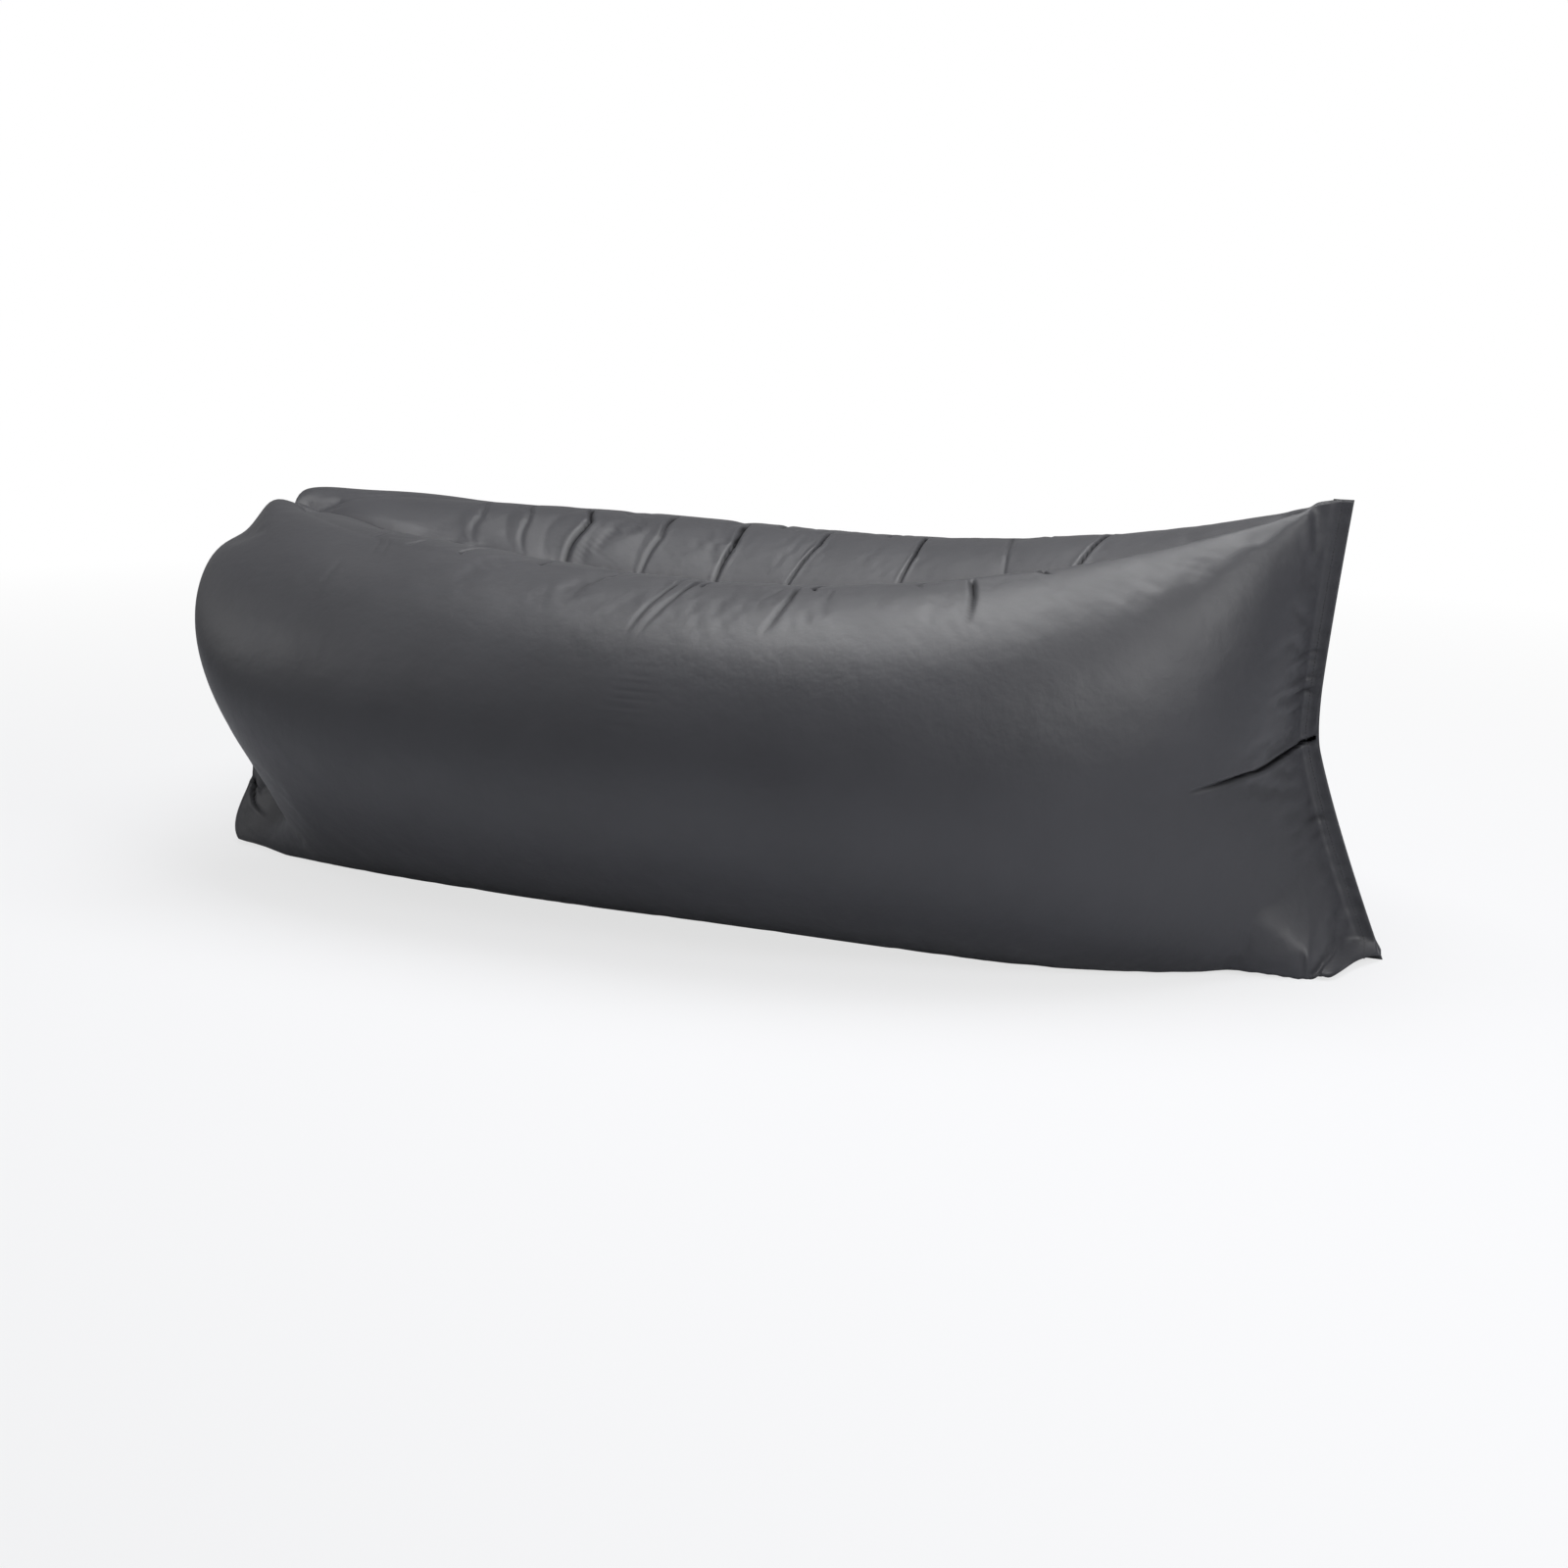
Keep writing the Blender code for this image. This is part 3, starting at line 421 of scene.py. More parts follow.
def spread_foot(points, along):
    """Pushes the closed end's low wall out to the line where it lies on the floor.

    The line runs straight from its start to a corner near the hem, then to the hem's foot. It turns there
    more softly the higher it is: it is times (1+near^-10)^-0.1, near being the share left to the foot. The
    push fades by 22 cm above the floor and towards the seam, where only the lowest 3 cm is drawn out. The
    wall tucks under by 1.3 times its depth below a height that falls from 14 mm to nothing at the corner.
    """
    x, y, z = np.moveaxis(points, -1, 0)
    start_x, start_y = FOOT_LINE_START
    line = start_y + (x - start_x) * FOOT_LINE_SLOPE
    near = np.clip((FOOT_TIP - x) / (FOOT_CORNER_RUN + FOOT_CORNER_SLOPE * np.clip(z, 0, 1)), 0.01, 10)
    line = line * (1 + near**-FOOT_CORNER_POWER) ** (-1 / FOOT_CORNER_POWER)
    columns = points.shape[1]
    outer = (np.arange(columns) < columns // 2 - 1)[None]
    first, run = FOOT_SPREAD_PLACE
    tall = smooth_step((FOOT_SPREAD_HEIGHT - z) / FOOT_SPREAD_HEIGHT) * smooth_step((x - first) / run)
    bare, fade = FOOT_WALL_SHARES
    wall = smooth_step((np.abs(y) / np.maximum(np.abs(line), 0.001) - bare) / fade)
    wall = wall * smooth_step(along / FOOT_SEAM_FADE)
    foot = smooth_step((FOOT_DRAWN_HEIGHT - z) / FOOT_DRAWN_HEIGHT)
    foot = foot * smooth_step((2 * FOOT_SEAM_FADE - along) / FOOT_SEAM_FADE)
    share = tall * np.maximum(wall, foot) * outer
    first, run = FOOT_TUCK_PLACE
    line = line + FOOT_TUCK_SLOPE * np.clip(FOOT_TUCK * smooth_step((first - x) / run) - z, 0, 1)
    out = points.copy()
    out[..., 1] = np.where(line < y, y + (line - y) * share, y)
    return out


def nudged(points, along, around, nudges):
    """Adds each nudge's move times exp(-(a/long reach)^2 - (r/round reach)^2), at a and r from its place."""
    out = points.copy()
    for place, reach, nudge in nudges:
        aside = np.abs(around - place[1])
        aside = np.minimum(aside, 2 * FLAT_WIDTH - aside)
        weight = np.exp(-(((along - place[0]) / reach[0]) ** 2) - (aside / reach[1]) ** 2)
        out += weight[..., None] * np.array(nudge)
    return out


def within_floor_and_middle(points):
    """Keeps cloth on its own side of the middle plane and above the floor."""
    points[..., 1] = np.minimum(points[..., 1], -COVER_GAP)
    points[..., 2] = np.maximum(points[..., 2], FLOOR_GAP)
    return points


def grid_normals(points):
    """Unit normals of a closed-round grid, from its steps along and round. They point out of the tube."""
    along = np.gradient(points, axis=0)
    around = np.roll(points, -1, axis=1) - np.roll(points, 1, axis=1)
    normal = np.cross(around, along)
    normal /= np.maximum(np.linalg.norm(normal, axis=2, keepdims=True), 1e-9)
    middle = points.mean(axis=1, keepdims=True)
    return normal * np.sign(((points - middle) * normal).sum())


def crowded(count, spots):
    """Shares from nought to one that stand closer near some spots.

    Their density is 1 + the sum of extra*exp(-((share-spot)/spread)^2), and each share is where the
    density's running total reaches an equal step.
    """
    fine = np.linspace(0, 1, CROWD_STEPS)
    density = 1 + sum(extra * np.exp(-(((fine - spot) / spread) ** 2)) for spot, spread, extra in spots)
    gone = np.concatenate([[0], np.cumsum((density[1:] + density[:-1]) / 2)])
    return np.interp(np.linspace(0, gone[-1], count), gone, fine)


row_shares = crowded(ROWS - LIP_ROWS, ROW_CROWDS)
outer_shares = crowded(COLUMNS // 2 + 1, OUTER_CROWDS)
inner_shares = crowded(COLUMNS // 2 + 1, INNER_CROWDS)
bare_form, tube_length = tube_form(row_shares, outer_shares, inner_shares)
lip_places = -HEM_WIDTH * (1 - np.arange(LIP_ROWS) / LIP_ROWS)
long_places = np.concatenate([lip_places, row_shares * tube_length])
along_place, round_place = cloth_places(long_places, outer_shares, inner_shares)
form = nudged(eased_seam(with_lip(bare_form), long_places), along_place, round_place, NUDGES)
rear_form = nudged(form, along_place, round_place, REAR_NUDGES)
rear_form = within_floor_and_middle(spread_foot(rear_form, along_place))
form = within_floor_and_middle(spread_foot(form, along_place))


# Cloth settling

SIM_ROWS = 160
SIM_COLUMNS = 128
SIM_FRAMES = 16
MOVE_CAP = 0.009
WEIGHT_STEPS = 20
CLOSED_SLACK_REACH = 0.10
MOUTH_SLACK_REACH = 0.12
RIDGE_SLACK_SHARE = 0.10
RIDGE_SLACK = 0.8
BOTTOM_SLACK = 0.6
EVEN_SLACK = 0.15
SKIN_HOLD = 0.05

sim_rows = np.linspace(0, 1, SIM_ROWS)
sim_shares = np.linspace(0, 1, SIM_COLUMNS // 2 + 1)
coarse = tube_form(sim_rows, sim_shares, sim_shares)[0]
sim_along, sim_round = cloth_places(sim_rows * tube_length, sim_shares, sim_shares)
coarse = nudged(coarse, sim_along, sim_round, NUDGES)
coarse = within_floor_and_middle(spread_foot(coarse, sim_along))


def weight_group(made, name, weights):
    """A vertex group holding the given weights in twenty steps."""
    group = made.vertex_groups.new(name=name)
    steps = np.round(np.asarray(weights).ravel() * WEIGHT_STEPS).astype(int)
    for step in range(1, WEIGHT_STEPS + 1):
        group.add(np.nonzero(steps == step)[0].tolist(), step / WEIGHT_STEPS, "REPLACE")


def settled(points, length):
    """How far the cloth moves when it is blown up with slightly more cloth near its ends, ridge and bottom.

    Slack is exp(-d/reach) from each end plus exp(-(share/spread)^2) from the ridge and the bottom. Blender's
    Cloth with pressure and no gravity moves it, held at both ends, and moves are eased off as m*cap/(cap+m).
    """
    rows, columns = points.shape[:2]
    made = mesh_object("cover_in_simulation", points, grid_faces(rows, columns)[:, ::-1])
    along = np.linspace(0, length, rows)[:, None]
    turn = np.abs((np.arange(columns) / columns + 0.5) % 1 - 0.5)[None] * 2
    ends = np.exp(-along / CLOSED_SLACK_REACH) + np.exp(-(length - along) / MOUTH_SLACK_REACH)
    ridge = np.exp(-((turn / RIDGE_SLACK_SHARE) ** 2))
    ridge = ridge + BOTTOM_SLACK * np.exp(-(((1 - turn) / RIDGE_SLACK_SHARE) ** 2))
    loose = np.clip(ends + RIDGE_SLACK * ridge + EVEN_SLACK, 0, 1)
    held = np.full((rows, columns), SKIN_HOLD)
    held[[0, -1]] = 1
    weight_group(made, "held", held)
    weight_group(made, "taut", 1 - loose)
    cloth = made.modifiers.new("cloth", "CLOTH")
    cloth.collision_settings.use_collision = False
    cloth.collision_settings.use_self_collision = False
    cloth.point_cache.frame_end = SIM_FRAMES + 1
    physics = cloth.settings
    physics.quality = 4
    physics.mass = 0.12
    physics.tension_stiffness = 25
    physics.compression_stiffness = 12
    physics.shear_stiffness = 6
    physics.bending_stiffness = 0.02
    physics.use_pressure = True
    physics.uniform_pressure_force = 4
    physics.vertex_group_mass = "held"
    physics.shrink_min = -0.035
    physics.shrink_max = 0.0
    physics.vertex_group_shrink = "taut"
    physics.effector_weights.gravity = 0
    scene = bpy.context.scene
    for step in range(1, SIM_FRAMES + 1):
        scene.frame_set(step)
    seen = made.evaluated_get(bpy.context.evaluated_depsgraph_get()).to_mesh()
    moved = np.empty(len(seen.vertices) * 3)
    seen.vertices.foreach_get("co", moved)
    scene.frame_set(1)
    bpy.data.objects.remove(made)
    move = moved.reshape(points.shape) - points
    size = np.linalg.norm(move, axis=2, keepdims=True)
    return move * MOVE_CAP / (MOVE_CAP + size)


def cubic_weights(count, places, closed):
    """Catmull-Rom weights that read a line of count samples at places counted in samples.

    The four samples round a place weigh (-t+2t^2-t^3)/2, (2-5t^2+3t^3)/2, (t+4t^2-3t^3)/2 and (t^3-t^2)/2.
    """
    wanted = len(places)
    base = np.floor(places).astype(int)
    t = places - base
    before = -t + 2 * t**2 - t**3
    at_base = 2 - 5 * t**2 + 3 * t**3
    after = t + 4 * t**2 - 3 * t**3
    beyond = t**3 - t**2
    weights = np.zeros((wanted, count))
    for offset, curve in enumerate((before, at_base, after, beyond)):
        index = base + offset - 1
        index = index % count if closed else np.clip(index, 0, count - 1)
        np.add.at(weights, (np.arange(wanted), index), curve / 2)
    return weights


def finer(values):
    """The simulation's grid of moves read at the cover's own rows and columns, and nought on the lip."""
    down = cubic_weights(SIM_ROWS, row_shares * (SIM_ROWS - 1), False)
    turns = np.concatenate([outer_shares, 2 - inner_shares[-2:0:-1]]) / 2
    across = cubic_weights(SIM_COLUMNS, turns * SIM_COLUMNS, True)
    read = np.einsum("ri,ijk,cj->rck", down, values, across, optimize=True)
    return np.concatenate([np.zeros((LIP_ROWS, COLUMNS, 3)), read])


# Creases, in metres along and round the cloth. A window or a foot's pair is where it ends and its fade.

CREASE_SWELLING = 0.12
SWELLING_PLACE = 2.4
SWELLING_WIDTH = 1.5
CREASE_END_POWER = 0.6
CREASE_START = (5, 0.45)
# Crease depth at which the painted crease shade is full, and the power that narrows it
CREASE_SHADE_DEPTH = 0.0036
CREASE_SHADE_POWER = 1.5
PLEAT_WIDTH = 0.0032
PLEAT_GAIN = 1.4
PLEAT_DROP = 0.17
PILLOW_DROPS = 1.3
PILLOW_HEIGHT = 0.0025
PILLOW_POWER = 0.6
PILLOW_END = 0.26
PILLOW_FADE = 0.20
RIDGE_WINDOW = (0.022, 0.03)
FAN_PLACE = (0.985, 0.245)
FAN_SLANT = 0.25
FAN_TURN_PLACE = 0.24
FAN_HALF_WIDTH = 0.026
FAN_HALF_LENGTH = 0.05
FAN_FADE = 0.02
FAN_DEPTH = 0.0005
FAN_PITCH = 0.011
GATHER_WAVES = 14
GATHER_REACHES = (0.03, 0.11)
GATHER_SLANTS = (-0.25, 0.25)
GATHER_DRIFTS = (0.10, 0.22)
SEAM_GATHERS = (0.0006, (0.022, 0.05))
MOUTH_GATHERS = (0.0009, (0.024, 0.06))
JOIN_GATHERS = (0.0006, (0.02, 0.05))
STITCH_GROOVE_DEPTH = 0.0002
STITCH_GROOVE_WIDTH = 0.0022
FLAT_FOOT_HEIGHT = (0.05, 0.03)
FLAT_FOOT_LENGTH = (0.60, 0.10)
SEAM_EDGE_FADE = 0.006
MOUTH_EDGE_FADE = 0.02
FRONT_SEED = 11
REAR_SEED = 23


def crease(path, depth, width):
    """A sharp valley along a path on the cloth, with a faint swelling on each side, shallower to its end.

    Height is depth*taper*(0.12*exp(-((d-2.4w)/1.5w)^2) - exp(-(d/w)^2)) at distance d from the path. Places
    are metres along the tube from the end seam and metres round it from its ridge, less than nought on
    the inner panel.
    """
    stops = np.array(path)
    sizes = np.linalg.norm(np.diff(stops, axis=0), axis=1)
    passed = np.concatenate([[0], np.cumsum(sizes)])
    distance = np.full(along_place.shape, np.inf)
    share = np.zeros(along_place.shape)
    for start, run, size, before in zip(stops, np.diff(stops, axis=0), sizes, passed):
        ahead = along_place - start[0]
        aside = round_place - start[1]
        held = np.clip((ahead * run[0] + aside * run[1]) / size**2, 0, 1)
        here = np.hypot(ahead - held * run[0], aside - held * run[1])
        share = np.where(here < distance, (before + held * size) / passed[-1], share)
        distance = np.minimum(distance, here)
    rise, level = CREASE_START
    taper = (1 - share) ** CREASE_END_POWER * smooth_step(share * rise + level)
    off_middle = (distance - SWELLING_PLACE * width) / (SWELLING_WIDTH * width)
    swelling = CREASE_SWELLING * np.exp(-(off_middle**2))
    return depth * taper * (swelling - np.exp(-((distance / width) ** 2)))


def gathers(distance, across, seed, size, wavelengths):
    """Fine ripples across a line, which die out away from it.

    The sum of waves exp(-d/reach) * sin(a/drift + p) * sin(2 pi (a + slant*d)/wave + q) over the square root
    of their number, with seeded values, at distance d from the line and place a along it.
    """
    picked = np.random.default_rng(seed)
    height = np.zeros_like(distance)
    for _ in range(GATHER_WAVES):
        wave = picked.uniform(*wavelengths)
        phase = picked.uniform(0, 2 * pi)
        reach = picked.uniform(*GATHER_REACHES)
        slant = picked.uniform(*GATHER_SLANTS)
        drift = np.sin(across / picked.uniform(*GATHER_DRIFTS) + picked.uniform(0, 2 * pi))
        ripple = np.sin(2 * pi * (across + slant * distance) / wave + phase)
        height += np.exp(-distance / reach) * drift * ripple
    return size * (height / GATHER_WAVES**0.5)


PLEATS = (
    (((0.351, 0.010), (0.368, -0.070), (0.387, -0.150)), 0.0065),
    (((0.549, 0.010), (0.525, -0.070), (0.501, -0.140)), 0.0020),
    (((0.734, 0.008), (0.718, -0.075), (0.722, -0.170)), 0.0065),
    (((0.950, 0.008), (0.938, -0.060), (0.964, -0.190)), 0.0060),
    (((1.086, 0.008), (1.083, -0.080), (1.104, -0.200)), 0.0065),
    (((1.174, 0.002), (1.199, -0.090), (1.269, -0.200)), 0.0040),
    (((1.290, 0.002), (1.316, -0.071), (1.342, -0.098), (1.425, -0.162), (1.500, -0.215)), 0.0065),
    (((1.380, 0.000), (1.419, -0.059), (1.445, -0.086), (1.539, -0.153), (1.596, -0.190)), 0.0030),
    (((1.450, 0.000), (1.503, -0.052), (1.539, -0.079), (1.667, -0.140), (1.740, -0.170)), 0.0022),
)


def inner_pleats():
    """Pleats down the inner panel from the ridge, with the cloth swelling out between each two.

    A swelling is 2.5 mm * sin(pi*s)^0.6 at share s of the way from one pleat to the next, and fades in over
    2 cm on either side of the ridge and out by 26 cm down the panel.
    """
    height = np.zeros(along_place.shape)
    for path, depth in PLEATS:
        height += PLEAT_GAIN * crease(path, depth, PLEAT_WIDTH)
    down = np.clip(-round_place, 0, None)
    share = np.clip(down / PLEAT_DROP, 0, PILLOW_DROPS)
    pillows = np.zeros(along_place.shape)
    for (first, _), (last, _) in zip(PLEATS, PLEATS[1:]):
        low = first[0][0] + (first[-1][0] - first[0][0]) * share
        high = last[0][0] + (last[-1][0] - last[0][0]) * share
        between = np.clip((along_place - low) / (high - low), 0, 1)
        pillows += np.clip(np.sin(pi * between), 0, 1) ** PILLOW_POWER
    edge, fade = RIDGE_WINDOW
    window = smooth_step((edge - round_place) / fade) * smooth_step((PILLOW_END - down) / PILLOW_FADE)
    return height + PILLOW_HEIGHT * pillows * window


FRONT_CREASES = (
    (((0.994, -0.020), (1.002, 0.060), (1.018, 0.150)), 0.0040, 0.0040),
    (((0.962, -0.020), (0.975, 0.060), (1.000, 0.150)), 0.0038, 0.0040),
    (((1.088, -0.020), (1.096, 0.030), (1.118, 0.095)), 0.0028, 0.0036),
    (((1.062, -0.020), (1.068, 0.012)), 0.0020, 0.0030),
    (((0.759, -0.015), (0.780, 0.050), (0.822, 0.142)), 0.0042, 0.0042),
    (((0.790, 0.004), (0.836, 0.070)), 0.0018, 0.0034),
    (((0.700, 0.010), (0.722, 0.060)), 0.0016, 0.0034),
    (((0.456, -0.004), (0.490, 0.060), (0.533, 0.136)), 0.0055, 0.0034),
    (((1.495, 0.095), (1.522, 0.205)), 0.0007, 0.0060),
    (((1.438, 0.012), (1.452, 0.060)), 0.0012, 0.0032),
    (((1.418, 0.006), (1.430, 0.060)), 0.0012, 0.0032),
    (((-0.030, 0.360), (-0.014, 0.370), (0.006, 0.374), (0.110, 0.378), (0.255, 0.387)), 0.0095, 0.0030),
    (((-0.020, 0.229), (0.056, 0.229)), 0.0020, 0.0036),
    (((-0.016, 0.243), (0.030, 0.244)), 0.0014, 0.0032),
    (((-0.022, 0.270), (0.105, 0.263)), 0.0018, 0.0040),
    (((-0.022, 0.290), (0.122, 0.283)), 0.0018, 0.0040),
    (((-0.026, 0.320), (0.106, 0.309)), 0.0014, 0.0040),
    (((-0.020, 0.458), (0.084, 0.477)), 0.0016, 0.0042),
    (((-0.020, 0.484), (0.118, 0.504)), 0.0020, 0.0042),
    (((-0.018, 0.511), (0.104, 0.524)), 0.0016, 0.0042),
    (((1.892, 0.716), (1.874, 0.706), (1.861, 0.700), (1.848, 0.686), (1.832, 0.648)), 0.0055, 0.0040),
    (((1.884, 0.708), (1.877, 0.682)), 0.0035, 0.0034),
)
REAR_CREASES = (
    (((-0.030, 0.356), (-0.010, 0.366), (0.100, 0.374), (0.240, 0.386)), 0.0090, 0.0030),
    (((0.470, -0.004), (0.490, 0.060), (0.520, 0.130)), 0.0060, 0.0040),
    (((0.810, -0.010), (0.850, 0.110)), 0.0036, 0.0040),
    (((1.040, -0.010), (1.070, 0.130)), 0.0036, 0.0040),
    (((1.240, -0.010), (1.250, 0.090)), 0.0028, 0.0040),
    (((-0.020, 0.236), (0.090, 0.238)), 0.0018, 0.0038),
    (((-0.020, 0.282), (0.110, 0.276)), 0.0018, 0.0040),
    (((-0.020, 0.470), (0.100, 0.488)), 0.0018, 0.0042),
    (((-0.018, 0.515), (0.090, 0.526)), 0.0016, 0.0042),
    (((1.890, 0.714), (1.862, 0.700), (1.840, 0.660)), 0.0050, 0.0040),
)


def fine_fan():
    """A patch of close wrinkles on the front panel: 0.5 mm * sin(2 pi r / 11 mm), faded within 3 cm."""
    place, middle = FAN_PLACE
    across = along_place - place - FAN_SLANT * (round_place - FAN_TURN_PLACE)
    patch = np.exp(-((across / FAN_HALF_WIDTH) ** 2))
    patch = patch * smooth_step((FAN_HALF_LENGTH - np.abs(round_place - middle)) / FAN_FADE)
    return FAN_DEPTH * np.sin(2 * pi * round_place / FAN_PITCH) * patch


def cover_heights(creases, seed):
    """Every crease, pleat and gather of one cover as heights off its form, nought at its edges and foot."""
    height = inner_pleats()
    for path, depth, width in creases:
        height += crease(path, depth, width)
    height += fine_fan() * (seed == FRONT_SEED)
    height += gathers(along_place, round_place, seed, *SEAM_GATHERS)
    height += gathers(tube_length - along_place, round_place, seed + 1, *MOUTH_GATHERS)
    join = np.abs(round_place + FLAT_WIDTH / 2)
    height += gathers(join, along_place, seed + 2, *JOIN_GATHERS) * (round_place < 0)
    groove = np.exp(-(((along_place + STITCH_INSET) / STITCH_GROOVE_WIDTH) ** 2)) * (round_place > 0)
    height -= STITCH_GROOVE_DEPTH * groove
    top, fade = FLAT_FOOT_HEIGHT
    end, run = FLAT_FOOT_LENGTH
    height *= 1 - smooth_step((top - form[..., 2]) / fade) * smooth_step((end - along_place) / run)
    height *= smooth_step((along_place + HEM_WIDTH) / SEAM_EDGE_FADE)
    return height * smooth_step((tube_length - along_place) / MOUTH_EDGE_FADE)


def cover(name, shape, side, move, heights):
    """One tube's cover: its form settled and creased, mirrored for the rear tube and closed at both ends."""
    settled_form = shape + finer(move)
    points = settled_form + grid_normals(settled_form) * heights[..., None]
    points = within_floor_and_middle(points) * np.array([1, side, 1]) + np.array([shift, 0, 0])
    faces = grid_faces(ROWS, COLUMNS)
    half = COLUMNS // 2
    step = np.arange(half)
    cap = np.stack([step, (-step) % COLUMNS, (-step - 1) % COLUMNS, step + 1], -1)
    last = (ROWS - 1) * COLUMNS
    faces = np.concatenate([faces, cap[1:-1], cap[1:-1, ::-1] + last]).tolist()
    for tip in ((0, COLUMNS - 1, 1), (half, half - 1, half + 1)):
        faces.append(list(tip))
        faces.append([corner + last for corner in tip[::-1]])
    if signed_volume(points) < 0:
        faces = [face[::-1] for face in faces]
    made = mesh_object(name, points, faces)
    lengthwise_uv(made, long_places, np.append(round_place[0] % (2 * FLAT_WIDTH), 2 * FLAT_WIDTH))
    # Painted shade: a fold attribute that rises with a crease's depth and darkens the cloth's colour and
    # shine
    folds = made.data.attributes.new("fold", "FLOAT", "POINT")
    folds.data.foreach_set("value", (np.clip(-heights / CREASE_SHADE_DEPTH, 0, 1) ** CREASE_SHADE_POWER).ravel())
    return made, points


# Finishes

# Sockets of a Mix node that mixes colours
MIX_FACTOR = 0
MIX_FIRST_COLOUR = 6
MIX_SECOND_COLOUR = 7
MIX_COLOUR_RESULT = 2

# How many waves a Wave texture of scale one has in a metre
WAVES_PER_SCALE = 3.18


class Finish:
    """A material with a Principled shader, to which patterns are wired."""

    def __init__(self, name, roughness, specular=0.5, sheen=0.0, sheen_roughness=0.5):
        self.material = bpy.data.materials.new(name)
        self.material.use_nodes = True
        self.tree = self.material.node_tree
        self.shader = self.tree.nodes["Principled BSDF"]
        self.shader.inputs["Roughness"].default_value = roughness
        self.shader.inputs["Specular IOR Level"].default_value = specular
        self.shader.inputs["Sheen Weight"].default_value = sheen
        self.shader.inputs["Sheen Roughness"].default_value = sheen_roughness

    def node(self, kind, **inputs):
        """A node of a kind, with values put on its sockets or other nodes' outputs wired to them."""
        made = self.tree.nodes.new(kind)
        for key, value in inputs.items():
            socket = made.inputs[int(key[1:]) if key[1:].isdigit() else key.replace("_", " ")]
            if isinstance(value, bpy.types.NodeSocket):
                self.tree.links.new(value, socket)
            else:
                socket.default_value = value
        return made

    def places(self, kind):
        """Object places, or the piece's own UV map in metres."""
        return self.tree.nodes.new("ShaderNodeTexCoord").outputs[kind]

    def ranged(self, value, source, target):
        """A value carried from its source range to a target range, and held within it."""
        spread = self.node("ShaderNodeMapRange", Value=value)
        spread.inputs["From Min"].default_value, spread.inputs["From Max"].default_value = source
        spread.inputs["To Min"].default_value, spread.inputs["To Max"].default_value = target
        return spread.outputs["Result"]

    def blotches(self, scale, detail, low, high):
        """Soft noise spread between a low and a high value."""
        noise = self.node("ShaderNodeTexNoise", Vector=self.places("Object"), Scale=scale, Detail=detail)
        return self.ranged(noise.outputs["Fac"], (0.3, 0.7), (low, high))

    def painted_crease_shade(self, colour, specular):
        """Painted crease shade: base colour and shine fall to lower ones as the fold attribute rises to one.
        """
        fold = self.node("ShaderNodeAttribute")
        fold.attribute_name = "fold"
        share = fold.outputs["Fac"]
        base = self.shader.inputs["Base Color"]
        mixed = self.tree.nodes.new("ShaderNodeMix")
        mixed.data_type = "RGBA"
        self.tree.links.new(share, mixed.inputs[MIX_FACTOR])
        self.tree.links.new(base.links[0].from_socket, mixed.inputs[MIX_FIRST_COLOUR])
        mixed.inputs[MIX_SECOND_COLOUR].default_value = (*colour, 1)
        self.tree.links.new(mixed.outputs[MIX_COLOUR_RESULT], base)
        shine = self.shader.inputs["Specular IOR Level"]
        self.tree.links.new(self.ranged(share, (0, 1), (shine.default_value, specular)), shine)

    def two_tones(self, value, dark, light):
        """Base colour from dark to light as a value goes from nought to one."""
        ramp = self.node("ShaderNodeValToRGB", Fac=value)
        ramp.color_ramp.elements[0].color = (*dark, 1)
        ramp.color_ramp.elements[1].color = (*light, 1)
        self.tree.links.new(ramp.outputs["Color"], self.shader.inputs["Base Color"])

    def weave(self, pitch):
        """Height of a plain weave: bands along times bands across, one pitch from thread to thread."""
        places = self.places("UV")
        bands = []
        for direction in ("X", "Y"):
            wave = self.node("ShaderNodeTexWave", Vector=places, Scale=1 / pitch / WAVES_PER_SCALE)
            wave.bands_direction = direction
            bands.append(wave.outputs["Fac"])
        crossed = self.node("ShaderNodeMath", _0=bands[0], _1=bands[1])
        crossed.operation = "MULTIPLY"
        return crossed.outputs["Value"]

    def raised(self, height, depth, below=None):
        """Bump of a height times a depth in metres, on top of another bump."""
        bump = self.node("ShaderNodeBump", Height=height, Strength=1.0, Distance=depth)
        if below is not None:
            self.tree.links.new(below, bump.inputs["Normal"])
        self.tree.links.new(bump.outputs["Normal"], self.shader.inputs["Normal"])
        return bump.outputs["Normal"]

    def rough(self, value):
        """Roughness from a value that varies over the surface."""
        self.tree.links.new(value, self.shader.inputs["Roughness"])


def coated_polyester():
    """Dark slate cloth with a satin coating, a fine plain weave, faint cloudy tone and painted shade in its
    creases.
    """
    finish = Finish("slate coated polyester", 0.46, specular=0.5, sheen=0.06, sheen_roughness=0.45)
    finish.two_tones(finish.blotches(5, 3, 0, 1), (0.031, 0.0315, 0.0365), (0.038, 0.0385, 0.0445))
    # Painted shade in the creases: colour and shine darker and duller by the fold attribute
    finish.painted_crease_shade((0.004, 0.004, 0.005), 0.02)
    finish.rough(finish.blotches(9, 4, 0.43, 0.52))
    slack = finish.raised(finish.blotches(26, 5, 0, 1), 0.0006)
    finish.raised(finish.weave(0.0012), 0.00005, slack)
    return finish.material


def ribbed_webbing():
    """Black woven band with close ribs across it."""
    finish = Finish("black webbing", 0.72, specular=0.3, sheen=0.25)
    finish.two_tones(finish.weave(0.0011), (0.012, 0.012, 0.014), (0.026, 0.026, 0.029))
    finish.raised(finish.weave(0.0011), 0.00012)
    return finish.material


def seam_tape():
    """Dark woven tape with fine ribs."""
    finish = Finish("slate seam tape", 0.7, specular=0.3, sheen=0.15)
    finish.two_tones(finish.weave(0.0009), (0.030, 0.031, 0.035), (0.045, 0.046, 0.052))
    finish.raised(finish.weave(0.0009), 0.00008)
    return finish.material


